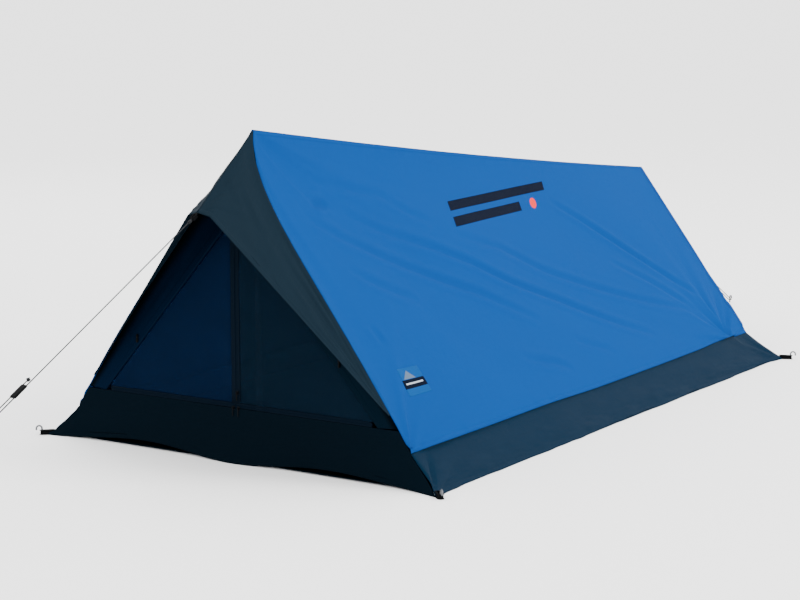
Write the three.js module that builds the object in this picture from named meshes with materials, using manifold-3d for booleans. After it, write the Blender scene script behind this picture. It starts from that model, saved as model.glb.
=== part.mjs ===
// A two-person ridge tent: blue roof, slate skirt and hood, mesh door, two poles, guylines and pegs.
// Millimetres, +Z up. The door faces -Y and the ridge runs along Y. The origin is the middle of the
// groundsheet's underside, so z = 0 is the ground that the pegs are driven into.
import * as THREE from 'three';
import { mergeVertices } from 'three/addons/utils/BufferGeometryUtils.js';
import Module from 'manifold-3d';

const wasm = await Module();
wasm.setup();

// Overall sizes of the pitched tent.
const length = 2230;            // front hem to rear hem
const halfWidth = 650;          // centre plane to a side hem
const frontHeight = 900;        // ridge at the front pole
const rearHeight = 612;         // ridge at its rear end
const apexSetback = 99;         // front apex behind the front hem
const rearOverhang = 222;       // rear end of the ridge beyond the rear hem

// Fabric panels. A roof panel's thickness is measured straight down, a wall's along Y.
const cloth = 4;
const gap = 0.4;                // between panels that are sewn edge to edge
const underRoof = 1.6;          // between a roof panel's underside and a wall's edge
const groundGap = 0.5;          // hems above the ground
const skirtHeight = 97;
const skirtFlare = 85;          // how far the skirt spreads from its seam down to its hem
const seamSetback = 10;         // front edge of the roof behind the front hem
const apexPinch = 333;          // how sharply the front edge of the roof draws in below the apex
const ridgeSag = 12;
const roofHollow = 12;
const hemLift = 12;             // the front hem between its pegged points

// Hood over the door.
const hoodReach = 246;          // its tip ahead of the front apex
const hoodDrop = 201;           // its tip below the front apex
const hoodCorner = 190;         // height at which it runs out on the door's seams
const hoodTipHalfWidth = 35;

// Door of two mesh leaves, closed by an upside-down T of zips.
const sillHeight = 150;
const zipWidth = 6.6;
const centreTapeWidth = 13.6;
const doorHalfWidth = 456;
const doorTop = 672;
const meshThickness = 2;
const hingeGap = 2;             // between a leaf and the border that it swings from
const sillTapeEnd = 12;         // left free at each end, where the leaf's lower corner dips as it swings

// Rear vent, measured up the rear wall from the skirt's seam.
const ventBottom = 300;
const ventTop = 460;
const ventHalfWidth = 88;
const ventHoodTop = 500;
const ventHoodHalfWidth = 105;
const ventTip = 453;
const ventReach = 73;

// Sectional steel poles.
const poleRadius = 8;
const poleWall = 0.6;
const spigotLength = 40;
const poleClearance = 0.4;
const frontPoleSections = 3;
const rearPoleSections = 2;
const frontPoleBehindApex = 14;
const rearPoleInset = 30;       // its axis inside the rear wall
const floorThickness = 2;

// Pegging.
const pegRadius = 2.5;
const pegDepth = 160;
const pegTop = 18;              // height of the shaft's straight part above the ground
const hookRadius = 8;
const loopLength = 44;
const loopWidth = 16;
const loopBand = 2;
const loopHeight = 12;
const frontLoopAngle = -45;     // degrees round from +X, on the right-hand side
const rearLoopAngle = 20;

// Guylines: each runs down to its peg, round it and back up through its runner.
const guyRadius = 1.5;
const guySlope = 0.525;         // fall per run
const guyHeightAtPeg = 12;
const runnerLength = 46;
const runnerThickness = 7;
const runnerClearance = 0.5;
const guyTail = 50;             // free end beyond the runner
const frontRunnerUp = 706;      // along the line from the peg to the runner
const rearRunnerUp = 330;

const frontY = -length / 2;
const rearY = length / 2;
const seamX = halfWidth - skirtFlare;
const rearSeamY = rearY - skirtFlare;
const wallY = frontY + seamSetback;

const v3 = (x, y, z) => new THREE.Vector3(x, y, z);
const mix = (a, b, t) => a + (b - a) * t;
const tent = new THREE.Group();

// ---- Shape helpers ----------------------------------------------------------------------------

function signedVolume(points, triangles) {
  let sum = 0;
  for (let i = 0; i < triangles.length; i += 3) {
    const [a, b, c] = [points[triangles[i]], points[triangles[i + 1]], points[triangles[i + 2]]];
    sum += a.dot(v3(0, 0, 0).crossVectors(b, c)) / 6;
  }
  return sum;
}

// A closed solid between a grid of points and the same grid moved by offset.
function sheetSolid(rows, offset) {
  const high = rows.length;
  const wide = rows[0].length;
  const top = rows.flat();
  const points = [...top, ...top.map((p) => p.clone().add(offset))];
  const below = top.length;
  const triangles = [];
  const quad = (a, b, c, d) => triangles.push(a, b, c, a, c, d);
  const at = (i, j) => i * wide + j;
  for (let i = 0; i < high - 1; i++) {
    for (let j = 0; j < wide - 1; j++) {
      const corners = [at(i, j), at(i, j + 1), at(i + 1, j + 1), at(i + 1, j)];
      quad(...corners);
      const [a, b, c, d] = corners.map((k) => k + below);
      triangles.push(a, c, b, a, d, c);
    }
  }
  const wall = (a, b) => quad(b, a, a + below, b + below);
  for (let j = 0; j < wide - 1; j++) {
    wall(at(0, j), at(0, j + 1));
    wall(at(high - 1, j + 1), at(high - 1, j));
  }
  for (let i = 0; i < high - 1; i++) {
    wall(at(i + 1, 0), at(i, 0));
    wall(at(i, wide - 1), at(i + 1, wide - 1));
  }
  if (signedVolume(points, triangles) < 0) {
    triangles.reverse();
  }
  const geometry = new THREE.BufferGeometry().setFromPoints(points);
  geometry.setIndex(triangles);
  geometry.computeVertexNormals();
  return geometry;
}

function evenly(steps) {
  return Array.from({ length: steps + 1 }, (_, i) => i / steps);
}

// Rows and columns of point(i, j). Each of them is a list of values or a number of even steps.
function grid(rows, columns, point) {
  const down = Array.isArray(rows) ? rows : evenly(rows);
  const across = Array.isArray(columns) ? columns : evenly(columns);
  return down.map((i) => across.map((j) => point(i, j)));
}

// A path with one step per point, however unevenly the points are spaced.
class Route extends THREE.Curve {
  constructor(points) {
    super();
    this.points = points;
  }

  getUtoTmapping(u) {
    return u;
  }

  getPoint(t, target = v3(0, 0, 0)) {
    const last = this.points.length - 1;
    const i = Math.min(Math.floor(t * last + 1e-9), last - 1);
    return target.copy(this.points[i]).lerp(this.points[i + 1], t * last - i);
  }

  getTangent(t, target = v3(0, 0, 0)) {
    const last = this.points.length - 1;
    const i = Math.round(t * last);
    const here = this.points[i];
    const before = this.points[Math.max(i - 1, 0)];
    const after = this.points[Math.min(i + 1, last)];
    const coming = here.clone().sub(before).normalize();
    return target.copy(after).sub(here).normalize().add(coming).normalize();
  }
}

function roundSection(radius, sides) {
  const points = [];
  for (let i = 0; i < sides; i++) {
    const angle = (i + 0.5) * 2 * Math.PI / sides;
    points.push(new THREE.Vector2(radius * Math.cos(angle), radius * Math.sin(angle)));
  }
  return new THREE.Shape(points);
}

function tube(points, radius, sides) {
  const settings = { steps: points.length - 1, extrudePath: new Route(points), bevelEnabled: false };
  return new THREE.ExtrudeGeometry(roundSection(radius, sides), settings);
}

// An outline in X and Z, as a plate whose front is at y = 0 and which is thickness deep towards +Y.
function uprightPlate(outline, thickness) {
  const settings = { depth: thickness, bevelEnabled: false };
  const plate = new THREE.ExtrudeGeometry(new THREE.Shape(outline), settings);
  return plate.rotateX(Math.PI / 2).translate(0, thickness, 0);
}

// The outline of a bar with round ends, lying along X from 0 to long.
function roundEnded(long, wide, PathClass = THREE.Shape, inset = 0) {
  const radius = wide / 2 - inset;
  const outline = new PathClass();
  outline.absarc(long - wide / 2, 0, radius, -Math.PI / 2, Math.PI / 2);
  outline.absarc(wide / 2, 0, radius, Math.PI / 2, 1.5 * Math.PI);
  return outline;
}

function toSolid(geometry) {
  const bare = geometry.clone();
  bare.deleteAttribute('normal');
  bare.deleteAttribute('uv');
  const merged = mergeVertices(bare, 1e-4);
  return new wasm.Manifold(new wasm.Mesh({
    numProp: 3,
    vertProperties: new Float32Array(merged.attributes.position.array),
    triVerts: new Uint32Array(merged.index.array),
  }));
}

function joined(...geometries) {
  const mesh = geometries.map(toSolid).reduce((whole, next) => whole.add(next)).getMesh();
  const geometry = new THREE.BufferGeometry();
  geometry.setAttribute('position', new THREE.BufferAttribute(mesh.vertProperties, 3));
  geometry.setIndex(new THREE.BufferAttribute(mesh.triVerts, 1));
  geometry.computeVertexNormals();
  return geometry;
}

function addPart(name, geometry, finish, parent = tent) {
  const mesh = new THREE.Mesh(geometry, new THREE.MeshStandardMaterial(finish));
  mesh.name = name;
  parent.add(mesh);
  return mesh;
}

function placed(position, turn = [0, 0, 0]) {
  const group = new THREE.Group();
  group.position.copy(position);
  group.rotation.set(...turn);
  tent.add(group);
  return group;
}

const sides = [['right', 1], ['left', -1]];

const blueCloth = { color: 0x2474b8, roughness: 0.75, metalness: 0 };
const slateCloth = { color: 0x2a4456, roughness: 0.8, metalness: 0 };
const skirtCloth = { color: 0x25455c, roughness: 0.8, metalness: 0 };
const blackCloth = { color: 0x11181d, roughness: 0.6, metalness: 0 };
const meshCloth = { color: 0x0b1a2a, roughness: 0.9, metalness: 0 };
const webbing = { color: 0x0d0e10, roughness: 0.85, metalness: 0 };
const blackPlastic = { color: 0x141416, roughness: 0.5, metalness: 0 };
const steel = { color: 0xb4b8bc, roughness: 0.35, metalness: 1 };
const greyCord = { color: 0x6f747a, roughness: 0.85, metalness: 0 };
const labelCloth = { color: 0xc9ced3, roughness: 0.7, metalness: 0 };

// ---- Roof and skirt ---------------------------------------------------------------------------

// Heights on the roof run from h = 0 at the skirt's seam to h = 1 at the ridge. Both edges are given
// on the right-hand side.
function frontEdge(h) {
  return v3(
    seamX * (1 - h) - apexPinch * h ** 4 * (1 - h),
    mix(frontY + seamSetback, frontY + apexSetback, h ** 5),
    mix(skirtHeight, frontHeight, h),
  );
}

function rearEdge(h) {
  return v3(
    seamX * (1 - h),
    mix(rearSeamY, rearY + rearOverhang, h),
    mix(skirtHeight, rearHeight, h),
  );
}

// A point on the roof's outer face, u of the way from the front to the rear.
function roofPoint(u, h) {
  const point = frontEdge(h).lerp(rearEdge(h), u);
  const span = 4 * u * (1 - u);
  const hollow = roofHollow * span * Math.sin(Math.PI * h);
  point.x -= 0.83 * hollow;
  point.z -= 0.55 * hollow + ridgeSag * span * h;
  return point;
}

function roofHeightAt(y) {
  const start = frontY + apexSetback;
  return roofPoint((y - start) / (rearY + rearOverhang - start), 1).z;
}

// How far below the ridge the roof's outer face is that wide at y, found by halving.
function depthWhereHalfWidthIs(half, y) {
  const start = frontY + apexSetback;
  const u = (y - start) / (rearY + rearOverhang - start);
  let [low, high] = [0, 1];
  for (let i = 0; i < 50; i++) {
    const h = (low + high) / 2;
    if (roofPoint(u, h).x > half) low = h;
    else high = h;
  }
  return roofHeightAt(y) - roofPoint(u, high).z;
}

function mirrored(point, side) {
  return v3((point.x + gap / 2) * side, point.y, point.z);
}

// The panels that meet along the roof's front edge share these points on it.
const borderBottom = sillHeight + 2 * gap;
const borderH = (borderBottom + cloth + underRoof - skirtHeight) / (frontHeight - skirtHeight);
const hoodCornerH = (hoodCorner - skirtHeight) / (frontHeight - skirtHeight);
const tipShare = 0.93;          // share of the hood's free edge below its flat tip
const hoodRows = [0, 0.12, 0.25, 0.38, 0.5, 0.62, 0.72, 0.8, 0.87, tipShare, 1];
const hoodHeights = hoodRows.map((t) => mix(hoodCornerH, 1, t));
const downwards = v3(0, 0, -cloth);
const skirtTop = skirtHeight - cloth - gap;

// The skirt's outer face at height z.
function skirtX(z) {
  return mix(halfWidth, seamX, (z - groundGap) / (skirtTop - groundGap));
}

for (const [name, side] of sides) {
  const heights = [0, borderH, ...hoodHeights];
  const roof = grid(heights, 12, (h, u) => mirrored(roofPoint(u, h), side));
  addPart(`roof_${name}`, sheetSolid(roof, downwards), blueCloth);

  const skirt = grid(2, 12, (w, u) => {
    const z = mix(skirtTop, groundGap, w);
    return v3(side * skirtX(z), mix(mix(wallY, frontY, w), mix(rearSeamY, rearY, w), u), z);
  });
  addPart(`skirt_${name}`, sheetSolid(skirt, v3(-side * cloth, 0, 0)), skirtCloth);
}

// ---- Hood -------------------------------------------------------------------------------------

const hoodTip = v3(0, frontY + apexSetback - hoodReach, frontHeight - hoodDrop);
const hoodRunOut = 8;           // depth left where the hood runs out

function hoodFreeEdge(t) {
  const corner = frontEdge(hoodCornerH).add(v3(0, -hoodRunOut, -2));
  const shoulder = hoodTip.clone().add(v3(hoodTipHalfWidth, 7, -9));
  return t <= tipShare
    ? corner.lerp(shoulder, t / tipShare)
    : shoulder.lerp(hoodTip, (t - tipShare) / (1 - tipShare));
}

for (const [name, side] of sides) {
  const hood = grid(hoodRows, 3, (t, w) => {
    const seam = frontEdge(mix(hoodCornerH, 1, t)).add(v3(0, -gap, 0));
    return mirrored(seam.lerp(hoodFreeEdge(t), w), side);
  });
  addPart(`hood_${name}`, sheetSolid(hood, downwards), slateCloth);
}

// ---- Front wall: sill, borders and the two mesh leaves ----------------------------------------

// Half the width that is free under the skirt and roof at the front, at height z.
function halfWidthUnder(z) {
  if (z <= skirtTop) {
    return skirtX(z) - cloth - 1;
  }
  return frontEdge((z + cloth + underRoof - skirtHeight) / (frontHeight - skirtHeight)).x - 1;
}

// Its rows run from the hem at 0, past the skirt's seam at 1, to the top at 2.
const sill = grid([0, 1 / 3, 2 / 3, 1, 1.5, 2], 16, (w, v) => {
  const across = 2 * v - 1;
  const lift = hemLift * Math.sin(Math.PI * Math.abs(across)) ** 2;
  const z = w <= 1 ? mix(groundGap + lift, skirtTop, w) : mix(skirtTop, sillHeight, w - 1);
  return v3(across * halfWidthUnder(z), frontY + Math.min(1, z / skirtHeight) * seamSetback, z);
});
addPart('front_sill', sheetSolid(sill, v3(0, cloth, 0)), blackCloth);

const doorBottom = sillHeight + gap + zipWidth;
const doorSlope = doorHalfWidth / (doorTop - doorBottom);

// Half the door's width at height z, along the straight line that its leaves swing about.
function doorEdge(z) {
  return (doorTop - z) * doorSlope;
}

function doorEdgeHeight(x) {
  return doorTop - x / doorSlope;
}

for (const [name, side] of sides) {
  const border = grid([borderH, ...hoodHeights], 2, (h, w) => {
    const z = mix(borderBottom, doorTop, (h - borderH) / (1 - borderH));
    const inner = v3(doorEdge(z), wallY, z);
    const outer = frontEdge(h).add(v3(0, 0, -cloth - underRoof));
    return mirrored(inner.lerp(outer, w), side);
  });
  addPart(`door_border_${name}`, sheetSolid(border, v3(0, cloth, 0)), blackCloth);

  // One leaf: a tape along the centre, a tape along the sill and the mesh between them.
  const group = placed(v3(0, wallY, 0));
  const plate = (corners, thickness) => uprightPlate(
    corners.map(([x, z]) => new THREE.Vector2(side * x, z)),
    thickness,
  );
  const leafEdge = (z) => doorEdge(z) - hingeGap;
  const tapeBottom = doorBottom + gap;
  const tapeTop = tapeBottom + zipWidth;
  const meshBottom = tapeTop + gap;
  const meshStart = gap + centreTapeWidth + gap;
  addPart(`zip_tape_centre_${name}`, plate([
    [gap, meshBottom],
    [gap + centreTapeWidth, meshBottom],
    [gap + centreTapeWidth, doorEdgeHeight(gap + centreTapeWidth + hingeGap)],
    [gap, doorEdgeHeight(gap + hingeGap)],
  ], meshThickness), blackCloth, group);
  addPart(`zip_tape_lower_${name}`, plate([
    [gap, tapeBottom],
    [leafEdge(tapeBottom), tapeBottom],
    [leafEdge(tapeTop), tapeTop],
    [gap, tapeTop],
  ], meshThickness), blackCloth, group);
  addPart(`door_mesh_${name}`, plate([
    [meshStart, meshBottom],
    [leafEdge(meshBottom), meshBottom],
    [meshStart, doorEdgeHeight(meshStart + hingeGap)],
  ], meshThickness), meshCloth, group);
}

const sillTape = new THREE.BoxGeometry(2 * (doorHalfWidth - sillTapeEnd), meshThickness, zipWidth);
sillTape.translate(0, wallY + meshThickness / 2, sillHeight + gap + zipWidth / 2);
addPart('zip_tape_sill', sillTape, blackCloth);

// ---- Zip sliders and their pulls --------------------------------------------------------------

const sliderWidth = 9;
const sliderHeight = 11;
const sliderPlate = 2.4;
const earThickness = 1.2;
const pinRadius = 0.8;
const pinReach = 2.8;           // pin's centre in front of the plate
const pullWidth = 2.8;
const pullLength = 22;
const eyeRadius = 2.2;
const pinClearance = 0.4;

function sliderBody() {
  const plateCentre = -gap - sliderPlate / 2;
  const plate = new THREE.BoxGeometry(sliderWidth, sliderPlate, sliderHeight);
  plate.translate(0, plateCentre, 0);
  const earX = pullWidth / 2 + pinClearance + earThickness / 2;
  const earReach = pinReach + pinRadius + 0.6;
  const ears = [-earX, earX].map((x) => {
    const ear = new THREE.BoxGeometry(earThickness, earReach + 1, 4);
    return ear.translate(x, -gap - sliderPlate - earReach / 2 + 0.5, 0);
  });
  const pin = new THREE.CylinderGeometry(pinRadius, pinRadius, 2 * earX, 24).rotateZ(Math.PI / 2);
  pin.translate(0, -gap - sliderPlate - pinReach, 0);
  return joined(plate, ...ears, pin);
}

function pullTab() {
  const tab = new THREE.Shape();
  const half = 0.6;
  const join = Math.asin(half / eyeRadius);
  tab.absarc(0, 0, eyeRadius, join - Math.PI / 2, 1.5 * Math.PI - join);
  tab.lineTo(-half, -pullLength);
  tab.lineTo(half, -pullLength);
  const eye = new THREE.Path();
  eye.absarc(0, 0, pinRadius + pinClearance, 0, 2 * Math.PI);
  tab.holes.push(eye);
  const settings = { depth: pullWidth, bevelEnabled: false, curveSegments: 16 };
  const solid = new THREE.ExtrudeGeometry(tab, settings);
  return solid.translate(0, 0, -pullWidth / 2).rotateX(Math.PI / 2).rotateZ(Math.PI / 2);
}

const tapeMiddle = sillHeight + gap + zipWidth / 2;
const sliderPlaces = {
  centre: v3(gap + 0.4 + sliderWidth / 2, wallY, doorBottom + 36),
  left: v3(-sliderWidth, wallY, tapeMiddle - 3.5),
  right: v3(sliderWidth, wallY, tapeMiddle - 3.5),
};
for (const [name, place] of Object.entries(sliderPlaces)) {
  addPart(`zip_slider_${name}`, sliderBody(), blackPlastic, placed(place));
  const pinPlace = place.clone().add(v3(0, -gap - sliderPlate - pinReach, 0));
  addPart(`zip_pull_${name}`, pullTab(), steel, placed(pinPlace));
}

// ---- Door toggles, to hold a rolled leaf ------------------------------------------------------

const toggleHeight = 310;
const toggleBesideDoor = 22;
for (const [name, side] of sides) {
  const toggle = new THREE.CapsuleGeometry(3.5, 18, 3, 10);
  const x = side * (doorEdge(toggleHeight) + toggleBesideDoor);
  const place = placed(v3(x, wallY - 4.2, toggleHeight));
  addPart(`door_toggle_${name}`, toggle.rotateX(Math.PI / 2), blackPlastic, place);
}

// ---- Rear wall, vent and groundsheet ----------------------------------------------------------

const rearRise = rearHeight - skirtHeight;
const rearLean = rearOverhang + skirtFlare;
const rearSlopeLength = Math.hypot(rearRise, rearLean);
const rearTurn = Math.atan2(rearRise, rearLean);

// The rear wall's own frame: X across, Y up the slope, and the outside towards -Z.
const rearPlane = placed(v3(0, rearSeamY, skirtHeight), [rearTurn, 0, 0]);

const edgeClearance = (cloth + underRoof + cloth * Math.cos(rearTurn)) * seamX / rearRise;
const rearHalf = (s) => seamX * (1 - s / rearSlopeLength) - edgeClearance;
const rearFoot = 2;
const rearPeak = rearSlopeLength * (1 - (edgeClearance + 2) / seamX);

const rearOutline = new THREE.Shape([
  new THREE.Vector2(-rearHalf(rearFoot), rearFoot),
  new THREE.Vector2(rearHalf(rearFoot), rearFoot),
  new THREE.Vector2(rearHalf(rearPeak), rearPeak),
  new THREE.Vector2(-rearHalf(rearPeak), rearPeak),
]);
const ventCorners = (inset) => [
  new THREE.Vector2(-ventHalfWidth + 2 * inset, ventBottom + inset),
  new THREE.Vector2(ventHalfWidth - 2 * inset, ventBottom + inset),
  new THREE.Vector2(0, ventTop - 2 * inset),
];
rearOutline.holes.push(new THREE.Path(ventCorners(0)));
addPart(
  'rear_wall',
  new THREE.ExtrudeGeometry(rearOutline, { depth: cloth, bevelEnabled: false }),
  slateCloth,
  rearPlane,
);
addPart(
  'vent_mesh',
  new THREE.ExtrudeGeometry(new THREE.Shape(ventCorners(gap)), {
    depth: meshThickness,
    bevelEnabled: false,
  }),
  meshCloth,
  rearPlane,
);

const ventHood = grid(4, 12, (w, v) => {
  const across = 2 * v - 1;
  const drop = Math.abs(across);
  const seam = v3(ventHoodHalfWidth * across, mix(ventHoodTop, ventBottom, drop), -1);
  const edge = v3(
    ventHoodHalfWidth * across,
    mix(ventTip, ventBottom - 8, drop),
    -mix(ventReach, 9, drop),
  );
  return seam.lerp(edge, w);
});
addPart('vent_hood', sheetSolid(ventHood, v3(0, -cloth, 0)), slateCloth, rearPlane);

const rearSill = grid(3, 8, (w, v) => {
  const z = mix(groundGap, skirtTop - gap, w);
  return v3((2 * v - 1) * (skirtX(z) - cloth - 1), mix(rearY, rearSeamY, z / skirtHeight), z);
});
addPart('rear_sill', sheetSolid(rearSill, v3(0, -cloth, 0)), blackCloth);

const floorInset = 7;
const floorStart = frontY + seamSetback + cloth + 4;
const floorEnd = rearY - cloth - 8;
const groundsheet = new THREE.BoxGeometry(
  2 * (halfWidth - floorInset),
  floorEnd - floorStart,
  floorThickness,
);
groundsheet.translate(0, (floorStart + floorEnd) / 2, floorThickness / 2);
addPart('groundsheet', groundsheet, blackCloth);

// ---- Poles ------------------------------------------------------------------------------------

const capHeight = 18;
const capFloor = 3;
const capWall = 1.6;
const tipSocket = 12;
const tipHeight = 27;

function lathe(profile) {
  return new THREE.LatheGeometry(
    profile.map(([r, z]) => new THREE.Vector2(r, z)),
    16,
  ).rotateX(Math.PI / 2);
}

function poleSection(long, spigot) {
  const bore = poleRadius - poleWall;
  const neck = bore - poleClearance;
  const profile = [[bore, 0], [poleRadius, 0], [poleRadius, long]];
  if (spigot) {
    profile.push([neck, long], [neck, long + spigotLength], [neck - poleWall, long + spigotLength]);
    profile.push([neck - poleWall, long - 2], [bore, long - 4]);
  } else {
    profile.push([bore, long]);
  }
  return lathe([...profile, [bore, 0]]);
}

function footCap() {
  const inner = poleRadius + poleClearance;
  const outer = inner + capWall;
  return lathe([
    [0, 0],
    [outer, 0],
    [outer, capHeight],
    [inner, capHeight],
    [inner, capFloor],
    [0, capFloor],
  ]);
}

// A cone with a socket for the pole, z = 0 at its open end.
function tipCap() {
  const inner = poleRadius + poleClearance;
  const outer = inner + capWall;
  return lathe([
    [inner, 0],
    [outer, 0],
    [outer, tipSocket],
    [2, tipHeight],
    [0, tipHeight],
    [0, tipSocket],
    [inner, tipSocket],
    [inner, 0],
  ]);
}

// Sections stacked along the pole's own Z, between its foot cap and its tip cap.
function addPole(name, foot, tilt, sections, total) {
  const group = placed(foot, [tilt, 0, 0]);
  addPart(`${name}_foot`, footCap(), blackPlastic, group);
  const start = capFloor + gap;
  const end = total - tipHeight + tipSocket - gap;
  const each = (end - start - gap * (sections.length - 1)) / sections.length;
  sections.forEach((sectionName, i) => {
    const section = poleSection(each, i < sections.length - 1);
    section.translate(0, 0, start + i * (each + gap));
    addPart(`${name}_${sectionName}`, section, steel, group);
  });
  addPart(`${name}_tip`, tipCap().translate(0, 0, total - tipHeight), blackPlastic, group);
}

const frontPoleY = frontY + apexSetback + frontPoleBehindApex;
const poleFootZ = floorThickness + gap;
const capRim = poleRadius + poleClearance + capWall;
const tipClearance = 0.2;       // straight down, between the roof and the rim of the tip's cap
const underRidge = depthWhereHalfWidthIs(capRim, frontPoleY) - (tipHeight - tipSocket) + tipClearance;
const frontPoleLength = roofHeightAt(frontPoleY) - cloth - underRidge - poleFootZ;
const frontNames = ['lower', 'middle', 'upper'].slice(0, frontPoleSections);
addPole('front_pole', v3(0, frontPoleY, poleFootZ), 0, frontNames, frontPoleLength);

// The rear pole leans with the rear wall, so its foot is lifted to keep the cap's rim off the floor.
const rearTilt = rearTurn - Math.PI / 2;
const insetAlongY = rearPoleInset / Math.sin(rearTurn);
const rearFootZ = poleFootZ + capRim * Math.abs(Math.sin(rearTilt));
const rearFootY = mix(rearSeamY, rearY + rearOverhang, (rearFootZ - skirtHeight) / rearRise) - insetAlongY;
const rearTipGap = 40;          // the tip's point below the ridge's end, up the slope
const rearPoleLength = (rearHeight - rearTipGap - rearFootZ) / Math.cos(rearTilt);
const rearNames = ['lower', 'upper'].slice(0, rearPoleSections);
addPole('rear_pole', v3(0, rearFootY, rearFootZ), rearTilt, rearNames, rearPoleLength);

// ---- Corner loops and pegs --------------------------------------------------------------------

// A closed band of webbing along +X, with room for a peg.
function webbingLoop(long, wide, band, high) {
  const outline = roundEnded(long, wide);
  outline.holes.push(roundEnded(long, wide, THREE.Path, band));
  return new THREE.ExtrudeGeometry(outline, { depth: high, bevelEnabled: false, curveSegments: 4 });
}

// A steel peg with its shaft on the Z axis and its hook open towards +X.
function peg() {
  const points = [v3(0, 0, -pegDepth), v3(0, 0, -pegDepth / 2), v3(0, 0, pegTop)];
  for (let i = 1; i <= 6; i++) {
    const angle = Math.PI - i * Math.PI / 6;
    points.push(v3(hookRadius * (1 + Math.cos(angle)), 0, pegTop + hookRadius * Math.sin(angle)));
  }
  points.push(v3(2 * hookRadius, 0, pegTop - 5));
  return tube(points, pegRadius, 8);
}

for (const [name, side] of sides) {
  for (const [end, y, angle] of [['front', frontY, frontLoopAngle], ['rear', rearY, rearLoopAngle]]) {
    const outward = side > 0 ? angle : 180 - angle;
    const turn = THREE.MathUtils.degToRad(outward);
    const group = placed(v3(side * (halfWidth + 1), y + Math.sign(angle) * 1, 0), [0, 0, turn]);
    const loop = webbingLoop(loopLength, loopWidth, loopBand, loopHeight);
    addPart(`corner_loop_${end}_${name}`, loop.translate(0, 0, groundGap), webbing, group);
    const pegX = loopLength - loopBand - pegRadius - 1;
    addPart(`corner_peg_${end}_${name}`, peg().translate(pegX, 0, 0), steel, group);
  }
}

// ---- Guylines ---------------------------------------------------------------------------------

const strandGap = 8 * guyRadius;        // the turn round the peg is twice the cord's thickness in radius

// Everything on one line, in a frame whose +X runs from the peg up to the tent along the line.
// heading is 1 where the tent lies towards +Y of its peg, and -1 where it lies towards -Y.
function addGuyline(name, top, heading, runnerUp) {
  const run = (top.z - guyHeightAtPeg) / guySlope;
  const pegPlace = v3(0, top.y - heading * run, guyHeightAtPeg);
  const along = top.clone().sub(pegPlace);
  const full = along.length();
  along.normalize();
  const across = v3(-heading, 0, 0);
  const at = (distance, offset) => pegPlace.clone()
    .addScaledVector(along, distance)
    .addScaledVector(across, offset);

  const route = [at(full - gap, 0), at(full / 2, 0), at(0, 0)];
  const bend = strandGap / 2;
  for (let i = 1; i <= 5; i++) {
    const angle = i * Math.PI / 6;
    route.push(at(-bend * Math.sin(angle), bend * (1 - Math.cos(angle))));
  }
  route.push(at(0, strandGap), at(runnerUp, strandGap), at(runnerUp + guyTail, strandGap));
  addPart(`${name}_guyline`, tube(route, guyRadius, 8), greyCord);

  const runner = new THREE.Shape();
  const halfHigh = runnerThickness / 2;
  const end = strandGap / 2;
  runner.absarc(end, 0, halfHigh, -Math.PI / 2, Math.PI / 2);
  runner.absarc(-end, 0, halfHigh, Math.PI / 2, 1.5 * Math.PI);
  for (const x of [-end, end]) {
    const hole = new THREE.Path();
    hole.absarc(x, 0, guyRadius + runnerClearance, 0, 2 * Math.PI);
    runner.holes.push(hole);
  }
  const settings = { depth: runnerLength, bevelEnabled: false, curveSegments: 6 };
  const body = new THREE.ExtrudeGeometry(runner, settings).translate(0, 0, -runnerLength / 2);
  const place = at(runnerUp, strandGap / 2);
  const slope = Math.atan(guySlope);
  const turn = heading > 0 ? [slope - Math.PI / 2, 0, 0] : [Math.PI / 2 - slope, 0, 0];
  addPart(`${name}_runner`, body, blackPlastic, placed(place, turn));

  const pegGroup = placed(v3(across.x * strandGap / 2, pegPlace.y, 0), [0, 0, -heading * Math.PI / 2]);
  addPart(`${name}_guy_peg`, peg(), steel, pegGroup);
}

// A loop of webbing in the centre plane, with its far end where the guyline starts.
const guyLoopLength = 24;
function addGuyLoop(name, start, heading) {
  const loop = webbingLoop(guyLoopLength, 10, 1.6, 9).translate(0, 0, -4.5);
  const slope = Math.atan(guySlope);
  const turned = loop.rotateX(Math.PI / 2).rotateY(slope);
  const group = placed(start, [0, 0, -heading * Math.PI / 2]);
  addPart(name, turned, webbing, group);
  const away = v3(0, -heading * Math.cos(slope), -Math.sin(slope));
  return start.clone().addScaledVector(away, guyLoopLength);
}

const hoodLoopStart = hoodTip.clone().add(v3(0, -2, -cloth / 2 - 2));
const frontGuyTop = addGuyLoop('hood_guy_loop', hoodLoopStart, 1);
addGuyline('front', frontGuyTop, 1, frontRunnerUp);

const ventTipPlace = v3(
  0,
  rearSeamY + ventTip * Math.cos(rearTurn) + ventReach * Math.sin(rearTurn),
  skirtHeight + ventTip * Math.sin(rearTurn) - ventReach * Math.cos(rearTurn),
);
const rearGuyTop = addGuyLoop('vent_guy_loop', ventTipPlace.add(v3(0, 3, -cloth)), -1);
addGuyline('rear', rearGuyTop, -1, rearRunnerUp);

// ---- Sewn-on label ----------------------------------------------------------------------------

const label = grid(2, 2, (j, i) => {
  const point = roofPoint(mix(0.06, 0.108, i), mix(0.15, 0.235, j));
  return mirrored(point, 1).add(v3(0, 0, 1.8));
});
addPart('label_patch', sheetSolid(label, v3(0, 0, -0.9)), labelCloth);

export default tent;
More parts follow.
